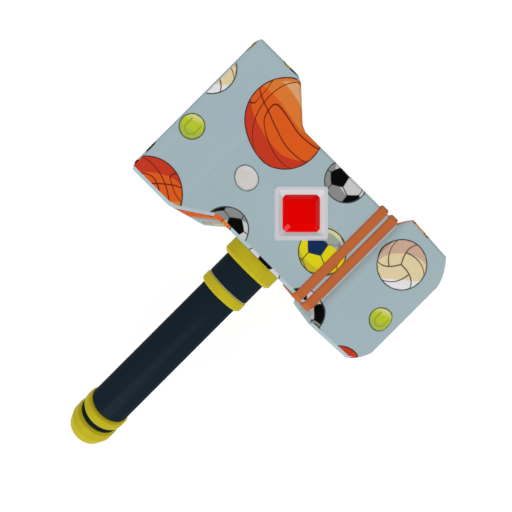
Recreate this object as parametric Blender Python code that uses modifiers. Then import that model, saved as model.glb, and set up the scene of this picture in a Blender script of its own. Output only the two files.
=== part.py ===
# Toy throwing hammer: a square mallet head on a round handle, with a push button in the head.
# Metres, +Z up. The hammer lies on its back: +X runs along the head to its small end, +Y runs
# up the handle to the head, and the red button faces +Z. Sizes along the head are measured from
# the handle's axis, and sizes down the handle from the head's axis.

import math

import bmesh
import bpy
from mathutils import Matrix, Vector

# Fits and facets
FIT_GAP = 0.0003
OVERCUT = 0.004
EMBED = 0.001
ROUND_SIDES = 40
INNER_SIDES = 20
SMALL_SIDES = 10

# Head outline
BLOCK_HALF = 0.0585
BLOCK_LENGTH = 0.0370
FACE_CHAMFER = 0.0024
RAMP_RUN = 0.0212
RAMP_EASE = 0.0026
NECK_HALF = 0.0423
NECK_LEFT = 0.0400
NECK_RIGHT = 0.0520
FLARE_RUN = 0.0039
FLARE_KNEE_RUN_SHARE = 0.46
FLARE_KNEE_RISE_SHARE = 0.61
SMALL_HALF = 0.0492
SMALL_LENGTH = 0.0334
SMALL_TAPER = 0.0015
END_BEVEL_RUN = 0.0149
END_BEVEL_DROP = 0.0123
END_BEVEL_BULGE = 0.0010
END_BEVEL_STEPS = 4
LONG_EDGE_CHAMFER = 0.0024
HEAD_WALL = 0.0023

# Bands round the neck
BAND_WIDTH = 0.0067
BAND_SPACING = 0.0024
BAND_TO_FLARE = 0.0011
BAND_PROUD = 0.0019
BAND_SEAT = 0.0008
BAND_ROUND = 0.0008

# Screws that close the head
BLOCK_SCREW_INSET = 0.0142
BLOCK_SCREW_SPREAD = 0.0440
NECK_SCREW_REACH = 0.0260
NECK_SCREW_SPREAD = 0.0320
SMALL_SCREW_INSET = 0.0221
SMALL_SCREW_SPREAD = 0.0330
SCREW_RADIUS = 0.0015
SCREW_HEAD_RADIUS = 0.0030
SCREW_HEAD_HEIGHT = 0.0024
SCREW_BITE = 0.0105
BOSS_WALL = 0.0025
WELL_WALL = 0.0015
WELL_CLEARANCE = 0.0008
SCREW_WEB = 0.0030

# Bezel and button
BEZEL_HALF = 0.0183
BEZEL_HEIGHT = 0.0040
BEZEL_OUTER_SLOPE = 0.0009
BEZEL_TOP_WIDTH = 0.0020
BEZEL_INNER_DROP = 0.0024
BEZEL_CORNER = 0.0012
PEG_REACH = 0.0213
PEG_RADIUS = 0.0014
PEG_HEAD_RADIUS = 0.0019
PEG_HEAD_HEIGHT = 0.0008
GEM_HALF = 0.01235
GEM_BEVEL = 0.0030
GEM_TABLE_BEVEL = 0.0022
GEM_TABLE_DROP = 0.0005
GEM_RISE = 0.0024
GEM_PROUD = 0.0005
GEM_CORNER = 0.0019
BUTTON_LIP = 0.0014
BUTTON_LIP_HEIGHT = 0.0015
BUTTON_TRAVEL = 0.0025
STEM_RADIUS = 0.0040
STEM_BELOW_GUIDE = 0.0040

# Button guide and its spring
GUIDE_DROP = 0.0085
GUIDE_PLATE = 0.0020
GUIDE_BOSS_REACH = 0.0186
GUIDE_MARGIN = 0.0035
GUIDE_CORNER = 0.0060
GUIDE_SLEEVE_WALL = 0.0017
GUIDE_SLEEVE_HEIGHT = 0.0038
SPRING_RADIUS = 0.0080
SPRING_WIRE = 0.0005
SPRING_TURNS = 4

# Circuit board and what it carries
BOARD_LENGTH = 0.0580
BOARD_WIDTH = 0.0420
BOARD_THICKNESS = 0.0016
BOARD_SCREW_INSET = 0.0040
BOARD_BOSS_RADIUS = 0.0030
SWITCH_SIDE = 0.0120
SWITCH_HEIGHT = 0.0043
PLUNGER_RADIUS = 0.0034
PLUNGER_HEIGHT = 0.0030
LAMP_RADIUS = 0.0025
LAMP_BODY = 0.0060
LAMP_REACH = 0.0105
LAMP_WINDOW_RADIUS = 0.0034
CHIP_SIDE = 0.0090
CHIP_HEIGHT = 0.0020
CHIP_INSET = 0.0100
SMALL_SCREW_RADIUS = 0.0012
SMALL_SCREW_HEAD_RADIUS = 0.0024
SMALL_SCREW_HEAD_HEIGHT = 0.0015
SMALL_SCREW_LENGTH = 0.0080

# Speaker in the back of the neck
SPEAKER_RIM_RADIUS = 0.0180
SPEAKER_RIM = 0.0020
SPEAKER_CONE_RADIUS = 0.0160
SPEAKER_BASKET = 0.0030
SPEAKER_MAGNET_RADIUS = 0.0090
SPEAKER_MAGNET_HEIGHT = 0.0055
SPEAKER_DISH = 0.0028
SPEAKER_DUST_CAP_RADIUS = 0.0056
SPEAKER_SEAT_WALL = 0.0015
CLAMP_THICKNESS = 0.0015
CLAMP_LAND = 0.0015
CLAMP_MARGIN = 0.0035
SPEAKER_SCREW_REACH = 0.0226
SPEAKER_SCREW_COUNT = 3
SPEAKER_SCREW_LENGTH = 0.0050
SPEAKER_POST_RADIUS = 0.0027
GRILLE_HOLE_RADIUS = 0.0017
GRILLE_RING_PITCH = 0.0058
GRILLE_RINGS = 2

# Handle core and what holds it in the head
CORE_RADIUS = 0.0120
CORE_INTO_HEAD = 0.0123
CORE_BORE_RADIUS = 0.0076
CORE_LEDGE = 0.0006
FLANGE_HALF = 0.0145
FLANGE_THICKNESS = 0.0030
CRADLE_PLATE = 0.0025

# Sleeves and rings down the handle
COLLAR_RADIUS = 0.0241
COLLAR_LENGTH = 0.0130
COLLAR_BEVEL = 0.0021
UPPER_SLEEVE_RADIUS = 0.01985
UPPER_SLEEVE_LENGTH = 0.0194
MIDDLE_RING_RADIUS = 0.0204
MIDDLE_RING_LENGTH = 0.0091
GRIP_RADIUS = 0.0170
GRIP_LENGTH = 0.1258
LOWER_RING_RADIUS = 0.0186
LOWER_RING_LENGTH = 0.0079
RING_BEVEL = 0.0013
SEAL_RADIUS = 0.0170
SEAL_LENGTH = 0.0034

# Pommel cap, its coarse thread and the contact carrier in it
POMMEL_RADIUS = 0.0186
POMMEL_LENGTH = 0.0139
POMMEL_TOP_BEVEL = 0.0015
POMMEL_BOTTOM_BEVEL_RUN = 0.0030
POMMEL_BOTTOM_BEVEL_DROP = 0.0065
POMMEL_FLOOR = 0.0030
CAP_ENGAGEMENT = 0.0080
CAP_TRAVEL = 0.0070
CAP_TURN = math.pi
LUG_DEPTH = 0.0030
LUG_RADIUS = 0.0014
LUG_HEIGHT = 0.0014
GROOVE_RADIUS = 0.0023
GROOVE_LEAD_IN = 0.0022
THREAD_STARTS = 2
CARRIER_LENGTH = 0.0116
CARRIER_LEDGE = 0.0046
POST_RADIUS = 0.0020
POST_HEAD_RADIUS = 0.0030
POST_HEAD_HEIGHT = 0.0022
CARRIER_ROOF = 0.0020
KEY_WIDTH = 0.0020
KEY_HEIGHT = 0.0010

# Cells and contacts
CELL_RADIUS = 0.00725
CELL_LENGTH = 0.0495
CELL_NUB_RADIUS = 0.00275
CELL_NUB_HEIGHT = 0.0010
CONTACT_THICKNESS = 0.0004
CONTACT_RADIUS = 0.0060
TAIL_SPRING_LENGTH = 0.0070
TAIL_SPRING_RADIUS = 0.0045
TAIL_SPRING_WIRE = 0.00045
TAIL_SPRING_TURNS = 4
PLUG_LENGTH = 0.0050
STRIP_WIDTH = 0.0030
STRIP_OFFSET = 0.00775
STRIP_PAST_LEDGE = 0.0040
STRIP_SLOT_SPARE = 0.0060
STRIP_OVERLAP = 0.0030
WIRE_RADIUS = 0.0007
LEAD_GAP = 0.0050
LEAD_LANDING_INSET = 0.0025
LEAD_STRAIGHT = 0.0100
LEAD_MOUTH_STRAIGHT = 0.0200
SPEAKER_LEAD_REACH = 0.0130
SPEAKER_LEAD_BOW = 0.0050

# Heights along the head and down the handle, worked out from the sizes above
BLOCK_END_X = -(NECK_LEFT + RAMP_RUN + BLOCK_LENGTH)
FLARE_TOP_X = NECK_RIGHT + FLARE_RUN
BEVEL_START_X = FLARE_TOP_X + SMALL_LENGTH
SMALL_END_X = BEVEL_START_X + END_BEVEL_RUN
BEVEL_START_HALF = SMALL_HALF - SMALL_TAPER
NECK_INSIDE = NECK_HALF - HEAD_WALL
SEAM = FIT_GAP / 2

COLLAR_TOP = NECK_HALF + FIT_GAP
UPPER_SLEEVE_TOP = COLLAR_TOP + COLLAR_LENGTH + FIT_GAP
MIDDLE_RING_TOP = UPPER_SLEEVE_TOP + UPPER_SLEEVE_LENGTH + FIT_GAP
GRIP_TOP = MIDDLE_RING_TOP + MIDDLE_RING_LENGTH + FIT_GAP
LOWER_RING_TOP = GRIP_TOP + GRIP_LENGTH + FIT_GAP
SEAL_TOP = LOWER_RING_TOP + LOWER_RING_LENGTH + FIT_GAP
POMMEL_TOP = SEAL_TOP + SEAL_LENGTH + FIT_GAP
POMMEL_END = POMMEL_TOP + POMMEL_LENGTH
SLEEVE_BORE = CORE_RADIUS + FIT_GAP

CORE_TOP = NECK_HALF - CORE_INTO_HEAD
CORE_END = POMMEL_TOP + CAP_ENGAGEMENT
LUG_LEVEL = POMMEL_TOP + LUG_DEPTH
CAP_FLOOR = POMMEL_END - POMMEL_FLOOR
CARRIER_END = CAP_FLOOR - FIT_GAP
CARRIER_TOP = CARRIER_END - CARRIER_LENGTH
CARRIER_RADIUS = CORE_BORE_RADIUS - FIT_GAP
TAIL_CONTACT_TOP = CARRIER_TOP - FIT_GAP - CONTACT_THICKNESS
TAIL_SPRING_END = TAIL_CONTACT_TOP - FIT_GAP
LOWER_CELL_END = TAIL_SPRING_END - TAIL_SPRING_LENGTH - FIT_GAP
CELL_TOTAL = CELL_LENGTH + CELL_NUB_HEIGHT
UPPER_CELL_END = LOWER_CELL_END - CELL_TOTAL - FIT_GAP
TOP_CONTACT_END = UPPER_CELL_END - CELL_TOTAL - FIT_GAP
PLUG_END = TOP_CONTACT_END - CONTACT_THICKNESS - FIT_GAP
PLUG_TOP = PLUG_END - PLUG_LENGTH
LEDGE_LEVEL = PLUG_TOP - FIT_GAP
STRIP_TOP = LEDGE_LEVEL - STRIP_PAST_LEDGE

OPENING_HALF = GEM_HALF + FIT_GAP
BEZEL_TOP = NECK_HALF + FIT_GAP + BEZEL_HEIGHT
GEM_TOP = BEZEL_TOP + GEM_PROUD
LIP_TOP = NECK_INSIDE - FIT_GAP
LIP_BOTTOM = LIP_TOP - BUTTON_LIP_HEIGHT
GUIDE_TOP = NECK_INSIDE - GUIDE_DROP - FIT_GAP
GUIDE_BOTTOM = GUIDE_TOP - GUIDE_PLATE
STEM_BOTTOM = GUIDE_BOTTOM - STEM_BELOW_GUIDE
PLUNGER_TOP = STEM_BOTTOM - BUTTON_TRAVEL - FIT_GAP
SWITCH_BASE = PLUNGER_TOP - PLUNGER_HEIGHT - SWITCH_HEIGHT
BOARD_TOP = SWITCH_BASE - FIT_GAP
BOARD_BOTTOM = BOARD_TOP - BOARD_THICKNESS

SPEAKER_FRONT = -NECK_INSIDE + FIT_GAP
SPEAKER_RIM_TOP = SPEAKER_FRONT + SPEAKER_RIM
CLAMP_BOTTOM = SPEAKER_RIM_TOP + FIT_GAP
CLAMP_TOP = CLAMP_BOTTOM + CLAMP_THICKNESS

UP_HANDLE = (-math.pi / 2, 0.0, 0.0)
ALONG_HEAD = (0.0, math.pi / 2, 0.0)
OUT_OF_FACE = (0.0, 0.0, 0.0)
DIAMOND = (0.0, 0.0, math.pi / 4)
QUARTERS = [(sx, sy) for sx in (-1, 1) for sy in (-1, 1)]


def clear_scene():
    for old in list(bpy.data.objects):
        bpy.data.objects.remove(old, do_unlink=True)


def new_collection(name):
    made = bpy.data.collections.new(name)
    bpy.context.scene.collection.children.link(made)
    return made


def hammer_frame():
    """An empty at the crossing of the head's and handle's axes, over the middle of the floor."""
    frame = bpy.data.objects.new("hammer_frame", None)
    PIECES.objects.link(frame)
    middle_x = (BLOCK_END_X + SMALL_END_X) / 2
    middle_y = (BLOCK_HALF - POMMEL_END) / 2
    frame.location = (-middle_x, -middle_y, BLOCK_HALF)
    return frame


def look(name, red, green, blue, roughness, metallic=0.0):
    """A plain material from a colour in 0 to 255 display values."""
    made = bpy.data.materials.new(name)
    made.use_nodes = True
    shader = made.node_tree.nodes["Principled BSDF"]
    linear = [((value / 255 + 0.055) / 1.055) ** 2.4 for value in (red, green, blue)]
    shader.inputs["Base Color"].default_value = (*linear, 1.0)
    shader.inputs["Roughness"].default_value = roughness
    shader.inputs["Metallic"].default_value = metallic
    return made


def place(name, mesh, finish=None, turn=OUT_OF_FACE):
    """Puts a mesh into the hammer's frame: a piece if it has a finish, else a cutter."""
    made = bpy.data.objects.new(name, mesh)
    made.parent = FRAME
    made.rotation_euler = turn
    if finish:
        PIECES.objects.link(made)
        mesh.materials.clear()
        mesh.materials.append(finish)
    else:
        TOOLS.objects.link(made)
        made.hide_render = True
        made.display_type = "WIRE"
    return made


def mesh_from(bm, name):
    mesh = bpy.data.meshes.new(name)
    bm.to_mesh(mesh)
    bm.free()
    return mesh


def evaluated_mesh(made):
    graph = bpy.context.evaluated_depsgraph_get()
    return bpy.data.meshes.new_from_object(made.evaluated_get(graph))


def smooth(mesh):
    mesh.shade_smooth()
    mesh.set_sharp_from_angle(angle=math.radians(30))


def turned(name, profile, finish=None, sides=ROUND_SIDES, turn=UP_HANDLE):
    """Turns (radius, height) points, listed down the outer side, about the height's axis."""
    count = len(profile)
    edges = [(i, i + 1) for i in range(count - 1)]
    if profile[0][0] > 0:
        edges.append((count - 1, 0))
    outline = bpy.data.meshes.new(name)
    outline.from_pydata([(radius, 0.0, height) for radius, height in profile], edges, [])
    made = place(name, outline, finish, turn)
    screw = made.modifiers.new("Turn", "SCREW")
    screw.steps = sides
    screw.render_steps = sides
    screw.use_merge_vertices = True
    screw.merge_threshold = 0.00001
    mesh = evaluated_mesh(made)
    made.modifiers.clear()
    made.data = mesh
    smooth(mesh)
    return made


def tube(name, outer, bore, top, bottom, finish, bevel=0.0, sides=ROUND_SIDES):
    """A turned sleeve between two distances down the handle, with both outer edges bevelled."""
    profile = [
        (outer - bevel, -top),
        (outer, -top - bevel),
        (outer, -bottom + bevel),
        (outer - bevel, -bottom),
        (bore, -bottom),
        (bore, -top),
    ]
    if not bevel:
        profile = [(outer, -top), (outer, -bottom), (bore, -bottom), (bore, -top)]
    return turned(name, profile, finish, sides)


def squared(name, stations, finish=None, turn=OUT_OF_FACE, ring=False):
    """Lofts chamfered squares through (half-width, chamfer, height) stations, top to bottom.

    A chamfered square isn't a turned shape, so its faces are made ring by ring. A ring's
    stations run down the outer side and up the inner one.
    """
    bm = bmesh.new()
    rings = []
    for half, chamfer, height in stations:
        flat = half - chamfer
        corners = [(half, flat), (flat, half), (-flat, half), (-half, flat)]
        corners += [(-x, -y) for x, y in corners]
        rings.append([bm.verts.new((x, y, height)) for x, y in corners])
    pairs = list(zip(rings, rings[1:]))
    if ring:
        pairs.append((rings[-1], rings[0]))
    else:
        bm.faces.new(rings[0])
        bm.faces.new(reversed(rings[-1]))
    for upper, lower in pairs:
        for i in range(len(upper)):
            j = (i + 1) % len(upper)
            bm.faces.new((upper[i], lower[i], lower[j], upper[j]))
    return place(name, mesh_from(bm, name), finish, turn)


def box(name, low, high, finish=None, turn=OUT_OF_FACE):
    bm = bmesh.new()
    bmesh.ops.create_cube(bm, size=1.0)
    size = [b - a for a, b in zip(low, high)]
    centre = [(a + b) / 2 for a, b in zip(low, high)]
    bmesh.ops.scale(bm, vec=size, verts=bm.verts)
    bmesh.ops.translate(bm, vec=centre, verts=bm.verts)
    return place(name, mesh_from(bm, name), finish, turn)


def rods(name, spans, finish=None, sides=SMALL_SIDES):
    """Straight cylinders, each a (radius, start, end), in one object."""
    bm = bmesh.new()
    for radius, start, end in spans:
        along = Vector(end) - Vector(start)
        spot = Matrix.Translation((Vector(start) + Vector(end)) / 2)
        swing = along.to_track_quat("Z", "Y").to_matrix().to_4x4()
        bmesh.ops.create_cone(
            bm,
            cap_ends=True,
            segments=sides,
            radius1=radius,
            radius2=radius,
            depth=along.length,
            matrix=spot @ swing,
        )
    mesh = mesh_from(bm, name)
    smooth(mesh)
    return place(name, mesh, finish)


def copies(name, pattern, spots, finish):
    """Numbered pieces that share one turned pattern's mesh; the pattern object is used up."""
    mesh = pattern.data
    bpy.data.objects.remove(pattern, do_unlink=True)
    for number, spot in enumerate(spots, 1):
        place(f"{name}_{number}", mesh, finish).location = spot


def boolean(made, tool, operation):
    step = made.modifiers.new(tool.name, "BOOLEAN")
    step.operation = operation
    step.solver = "EXACT"
    step.object = tool


def cut(made, *tools):
    for tool in tools:
        boolean(made, tool, "DIFFERENCE")


def join(made, *tools):
    for tool in tools:
        boolean(made, tool, "UNION")


def wire(name, points, radius, finish=None, resolution=1):
    """A round wire through the points, with filled and welded ends."""
    curve = bpy.data.curves.new(name, "CURVE")
    curve.dimensions = "3D"
    curve.bevel_depth = radius
    curve.bevel_resolution = resolution
    curve.use_fill_caps = True
    spline = curve.splines.new("POLY")
    spline.points.add(len(points) - 1)
    for point, spot in zip(spline.points, points):
        point.co = (*spot, 1.0)
    drawn = bpy.data.objects.new(name, curve)
    TOOLS.objects.link(drawn)
    bm = bmesh.new()
    bm.from_mesh(evaluated_mesh(drawn))
    bmesh.ops.remove_doubles(bm, verts=bm.verts, dist=0.00001)
    bpy.data.objects.remove(drawn, do_unlink=True)
    mesh = mesh_from(bm, name)
    smooth(mesh)
    return place(name, mesh, finish)


def smooth_route(points, steps=5):
    """Points along the Catmull-Rom curve through a route's own points."""
    ends = [points[0], *points, points[-1]]
    route = []
    for a, b, c, d in zip(ends, ends[1:], ends[2:], ends[3:]):
        a, b, c, d = Vector(a), Vector(b), Vector(c), Vector(d)
        for step in range(steps):
            t = step / steps
            spot = 2 * b + (c - a) * t + (2 * a - 5 * b + 4 * c - d) * t**2
            route.append((spot + (3 * b - 3 * c + d - a) * t**3) / 2)
    return [*route, Vector(points[-1])]


def coil(name, radius, wire_radius, turns, low, high, finish, axis_y=False):
    """A compression spring between two heights, wound about Z, or about Y for axis_y."""
    start = low + wire_radius
    rise = high - low - 2 * wire_radius
    steps = 12 * turns
    points = []
    for step in range(steps + 1):
        angle = 2 * math.pi * turns * step / steps
        x, y = radius * math.cos(angle), radius * math.sin(angle)
        height = start + rise * step / steps
        points.append((x, height, -y) if axis_y else (x, y, height))
    return wire(name, points, wire_radius, finish)


def ease(before, corner, after):
    """The two points where a facet cuts a corner of the head's outline."""
    corner = Vector(corner)
    ways = [(Vector(side) - corner).normalized() for side in (before, after)]
    return [tuple(corner + way * RAMP_EASE) for way in ways]


def head_outline():
    """(half-width, x) points of the head, from the small end to the striking face."""
    bevel_low = Vector((BEVEL_START_HALF - END_BEVEL_DROP, SMALL_END_X))
    bevel_high = Vector((BEVEL_START_HALF, BEVEL_START_X))
    outward = Vector((END_BEVEL_RUN, END_BEVEL_DROP)).normalized() * END_BEVEL_BULGE
    points = []
    for step in range(END_BEVEL_STEPS + 1):
        t = step / END_BEVEL_STEPS
        points.append(tuple(bevel_low.lerp(bevel_high, t) + outward * 4 * t * (1 - t)))
    knee_half = NECK_HALF + FLARE_KNEE_RISE_SHARE * (SMALL_HALF - NECK_HALF)
    points.append((SMALL_HALF, FLARE_TOP_X))
    points.append((knee_half, NECK_RIGHT + FLARE_KNEE_RUN_SHARE * FLARE_RUN))
    points.append((NECK_HALF, NECK_RIGHT))
    ramp_foot = (NECK_HALF, -NECK_LEFT)
    ramp_top = (BLOCK_HALF, -NECK_LEFT - RAMP_RUN)
    face_edge = (BLOCK_HALF, BLOCK_END_X + FACE_CHAMFER)
    points += ease((NECK_HALF, NECK_RIGHT), ramp_foot, ramp_top)
    points += ease(ramp_foot, ramp_top, face_edge)
    points.append(face_edge)
    points.append((BLOCK_HALF - FACE_CHAMFER, BLOCK_END_X))
    return points


def inset(outline, depth):
    """The outline moved inward by a wall, with its corners mitred."""
    closed = [(0.0, outline[0][1]), *outline, (0.0, outline[-1][1])]
    moved = []
    for before, spot, after in zip(closed, closed[1:], closed[2:]):
        before, spot, after = Vector(before), Vector(spot), Vector(after)
        first = (spot - before).normalized()
        second = (after - spot).normalized()
        first_inward = Vector((first.y, -first.x))
        second_inward = Vector((second.y, -second.x))
        mitre = (first_inward + second_inward) / (1 + first_inward.dot(second_inward))
        moved.append(tuple(spot + mitre * depth))
    return moved


def chamfer_inside(chamfer, depth):
    """The corner chamfer of a square that lies a depth inside another, wall for wall."""
    return chamfer - depth * (2 - math.sqrt(2))


def head_stations(depth):
    chamfer = chamfer_inside(LONG_EDGE_CHAMFER, depth)
    outline = inset(head_outline(), depth) if depth else head_outline()
    return [(half, chamfer, x) for half, x in outline]


def half_at(x):
    """The head's half-width at one place along it."""
    outline = head_outline()
    for (half_a, x_a), (half_b, x_b) in zip(outline, outline[1:]):
        if x_b <= x <= x_a:
            return half_a + (half_b - half_a) * (x - x_a) / (x_b - x_a)
    return BLOCK_HALF


def closing_screw_spots():
    columns = [
        (BLOCK_END_X + BLOCK_SCREW_INSET, BLOCK_SCREW_SPREAD),
        (-NECK_SCREW_REACH, NECK_SCREW_SPREAD),
        (NECK_SCREW_REACH, NECK_SCREW_SPREAD),
        (FLARE_TOP_X + SMALL_SCREW_INSET, SMALL_SCREW_SPREAD),
    ]
    return [(x, side * spread) for x, spread in columns for side in (-1, 1)]


def board_screw_spots():
    x = BOARD_LENGTH / 2 - BOARD_SCREW_INSET
    y = BOARD_WIDTH / 2 - BOARD_SCREW_INSET
    return [(sx * x, sy * y) for sx, sy in QUARTERS]


def guide_screw_spots():
    reach = GUIDE_BOSS_REACH / math.sqrt(2)
    return [(sx * reach, sy * reach) for sx, sy in QUARTERS]


def peg_spots():
    return [(PEG_REACH, 0), (0, PEG_REACH), (-PEG_REACH, 0), (0, -PEG_REACH)]


def speaker_screw_spots():
    step = 2 * math.pi / SPEAKER_SCREW_COUNT
    turns = [step * i + math.pi / 2 for i in range(SPEAKER_SCREW_COUNT)]
    return [(SPEAKER_SCREW_REACH * math.cos(a), SPEAKER_SCREW_REACH * math.sin(a)) for a in turns]


def upright(radius, spots, low, high):
    """Spans of upright rods at spots, for rods()."""
    return [(radius, (x, y, low), (x, y, high)) for x, y in spots]


def band_starts():
    """Where each band starts along the head, the outer one first."""
    outer = NECK_RIGHT - BAND_TO_FLARE - BAND_WIDTH
    return [outer, outer - BAND_SPACING - BAND_WIDTH]


def square_ring(name, outer_depth, inner_depth, start, end, finish=None, edge=0.0):
    """A chamfered square ring round the neck; depths are measured inward from its faces."""
    def station(depth, x):
        return (NECK_HALF - depth, chamfer_inside(LONG_EDGE_CHAMFER, depth), x)

    stations = [station(inner_depth, end)]
    if edge:
        stations.append(station(outer_depth + edge, end))
    stations.append(station(outer_depth, end - edge))
    stations.append(station(outer_depth, start + edge))
    if edge:
        stations.append(station(outer_depth + edge, start))
    stations.append(station(inner_depth, start))
    return squared(name, stations, finish, ALONG_HEAD, ring=True)


def shared_head_tools():
    """Cutters that both head shells use: hollow, handle passage, band seats."""
    hollow = squared("hollow_tool", head_stations(HEAD_WALL), turn=ALONG_HEAD)
    passage = rods(
        "passage_tool",
        [(SLEEVE_BORE, (0, -CORE_TOP + OVERCUT, 0), (0, -NECK_HALF - OVERCUT, 0))],
        sides=ROUND_SIDES,
    )
    seats = []
    for number, start in enumerate(band_starts()):
        name = f"band_seat_tool_{number}"
        end = start + BAND_WIDTH + FIT_GAP
        seats.append(square_ring(name, -OVERCUT, BAND_SEAT, start - FIT_GAP, end))
    return hollow, passage, seats


def cradle(side):
    """Plates that trap the core's square flange between the neck's wall and themselves."""
    flange_top = NECK_INSIDE - 2 * FIT_GAP - FLANGE_THICKNESS
    pocket = FLANGE_HALF + FIT_GAP
    outer = pocket + CRADLE_PLATE
    roof = NECK_INSIDE + EMBED
    low, high = (0, roof) if side > 0 else (-roof, 0)
    top = -flange_top + CRADLE_PLATE
    name = "front" if side > 0 else "rear"
    plates = [box(f"{name}_cradle_roof_tool", (-outer, -flange_top, low), (outer, top, high))]
    for x in (-1, 1):
        ends = sorted((x * pocket, x * outer))
        walls = (ends[0], -NECK_INSIDE - EMBED, low), (ends[1], top, high)
        plates.append(box(f"{name}_cradle_wall_tool_{x}", *walls))
    return plates


def head_shell(name, side, shared, bosses, finish):
    """One half of the hollow head: side is 1 for the front shell and -1 for the rear one."""
    hollow, passage, seats = shared
    shell = squared(name, head_stations(0), finish, ALONG_HEAD)
    cut(shell, hollow)
    join(shell, bosses, *cradle(side))
    far = 2 * BLOCK_HALF
    edge = SEAM * side
    low, high = (-far, edge) if side > 0 else (edge, far)
    wide = 2 * far
    cut(shell, box(f"{name}_half_tool", (-wide, -wide, low), (wide, wide, high)))
    cut(shell, passage, *seats)
    return shell


def front_shell(shared, finish):
    spans = []
    for x, y in closing_screw_spots():
        roof = half_at(x) - HEAD_WALL + EMBED
        spans += upright(SCREW_RADIUS + FIT_GAP + BOSS_WALL, [(x, y)], 0, roof)
    roof = NECK_INSIDE + EMBED
    spans += upright(BOARD_BOSS_RADIUS, board_screw_spots(), BOARD_TOP + FIT_GAP, roof)
    spans += upright(BOARD_BOSS_RADIUS, guide_screw_spots(), GUIDE_TOP + FIT_GAP, roof)
    shell = head_shell("head_front_shell", 1, shared, rods("front_boss_tool", spans), finish)

    tip = SCREW_BITE + FIT_GAP
    holes = upright(SCREW_RADIUS + FIT_GAP, closing_screw_spots(), -OVERCUT, tip)
    small = SMALL_SCREW_RADIUS + FIT_GAP
    for spots, seat in ((board_screw_spots(), BOARD_BOTTOM), (guide_screw_spots(), GUIDE_BOTTOM)):
        holes += upright(small, spots, seat - OVERCUT, seat + SMALL_SCREW_LENGTH)
    holes += upright(PEG_RADIUS + FIT_GAP, peg_spots(), NECK_INSIDE - OVERCUT, NECK_HALF + OVERCUT)
    cut(shell, rods("front_hole_tool", holes))
    corner = chamfer_inside(GEM_CORNER, -FIT_GAP)
    window = [(OPENING_HALF, corner, NECK_HALF + OVERCUT), (OPENING_HALF, corner, NECK_INSIDE - OVERCUT)]
    cut(shell, squared("button_window_tool", window, turn=DIAMOND))
    return shell


def grille_spots():
    spots = [(0.0, 0.0)]
    for ring in range(1, GRILLE_RINGS + 1):
        for i in range(6 * ring):
            angle = math.pi * i / (3 * ring)
            reach = ring * GRILLE_RING_PITCH
            spots.append((reach * math.cos(angle), reach * math.sin(angle)))
    return spots


def rear_shell(shared, finish):
    well = SCREW_HEAD_RADIUS + WELL_CLEARANCE
    spans = []
    for x, y in closing_screw_spots():
        floor = -half_at(x) + HEAD_WALL - EMBED
        spans += upright(well + WELL_WALL, [(x, y)], floor, 0)
    floor = -NECK_INSIDE - EMBED
    spans += upright(SPEAKER_POST_RADIUS, speaker_screw_spots(), floor, SPEAKER_RIM_TOP)
    shell = head_shell("head_rear_shell", -1, shared, rods("rear_boss_tool", spans), finish)
    inner = SPEAKER_RIM_RADIUS + FIT_GAP
    outer = inner + SPEAKER_SEAT_WALL
    seat = [(outer, SPEAKER_RIM_TOP), (outer, floor), (inner, floor), (inner, SPEAKER_RIM_TOP)]
    join(shell, turned("speaker_seat_tool", seat, sides=INNER_SIDES, turn=OUT_OF_FACE))

    wells = upright(well, closing_screw_spots(), -BLOCK_HALF - OVERCUT, -SEAM - SCREW_WEB)
    cut(shell, rods("screw_well_tool", wells))
    holes = upright(SCREW_RADIUS + FIT_GAP, closing_screw_spots(), -SEAM - SCREW_WEB - EMBED, OVERCUT)
    tip = CLAMP_TOP - SPEAKER_SCREW_LENGTH
    holes += upright(SMALL_SCREW_RADIUS + FIT_GAP, speaker_screw_spots(), tip, CLAMP_TOP)
    cut(shell, rods("rear_hole_tool", holes))
    grille = upright(GRILLE_HOLE_RADIUS, grille_spots(), -NECK_HALF - OVERCUT, -NECK_INSIDE + OVERCUT)
    cut(shell, rods("grille_tool", grille))
    return shell


def screw_profile(head_radius, head_height, radius, length):
    """A pan-head screw that points up, with its head's underside at height 0."""
    return [
        (0, length),
        (radius, length),
        (radius, 0),
        (head_radius, 0),
        (head_radius, -head_height),
        (0, -head_height),
    ]


def closing_screws(finish):
    seat = -SEAM - SCREW_WEB - FIT_GAP
    profile = screw_profile(SCREW_HEAD_RADIUS, SCREW_HEAD_HEIGHT, SCREW_RADIUS, SCREW_BITE - seat)
    pattern = turned("closing_screw_pattern", profile, sides=SMALL_SIDES, turn=OUT_OF_FACE)
    copies("closing_screw", pattern, [(x, y, seat) for x, y in closing_screw_spots()], finish)


def small_screws(finish):
    profile = screw_profile(
        SMALL_SCREW_HEAD_RADIUS, SMALL_SCREW_HEAD_HEIGHT, SMALL_SCREW_RADIUS, SMALL_SCREW_LENGTH
    )
    pattern = turned("small_screw_pattern", profile, sides=SMALL_SIDES, turn=OUT_OF_FACE)
    spots = [(x, y, BOARD_BOTTOM - FIT_GAP) for x, y in board_screw_spots()]
    spots += [(x, y, GUIDE_BOTTOM - FIT_GAP) for x, y in guide_screw_spots()]
    copies("small_screw", pattern, spots, finish)


def bands(finish):
    made = []
    for name, start in zip(("band_outer", "band_inner"), band_starts()):
        end = start + BAND_WIDTH
        inner = BAND_SEAT - FIT_GAP
        made.append(square_ring(name, -BAND_PROUD, inner, start, end, finish, edge=BAND_ROUND))
    return made


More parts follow.
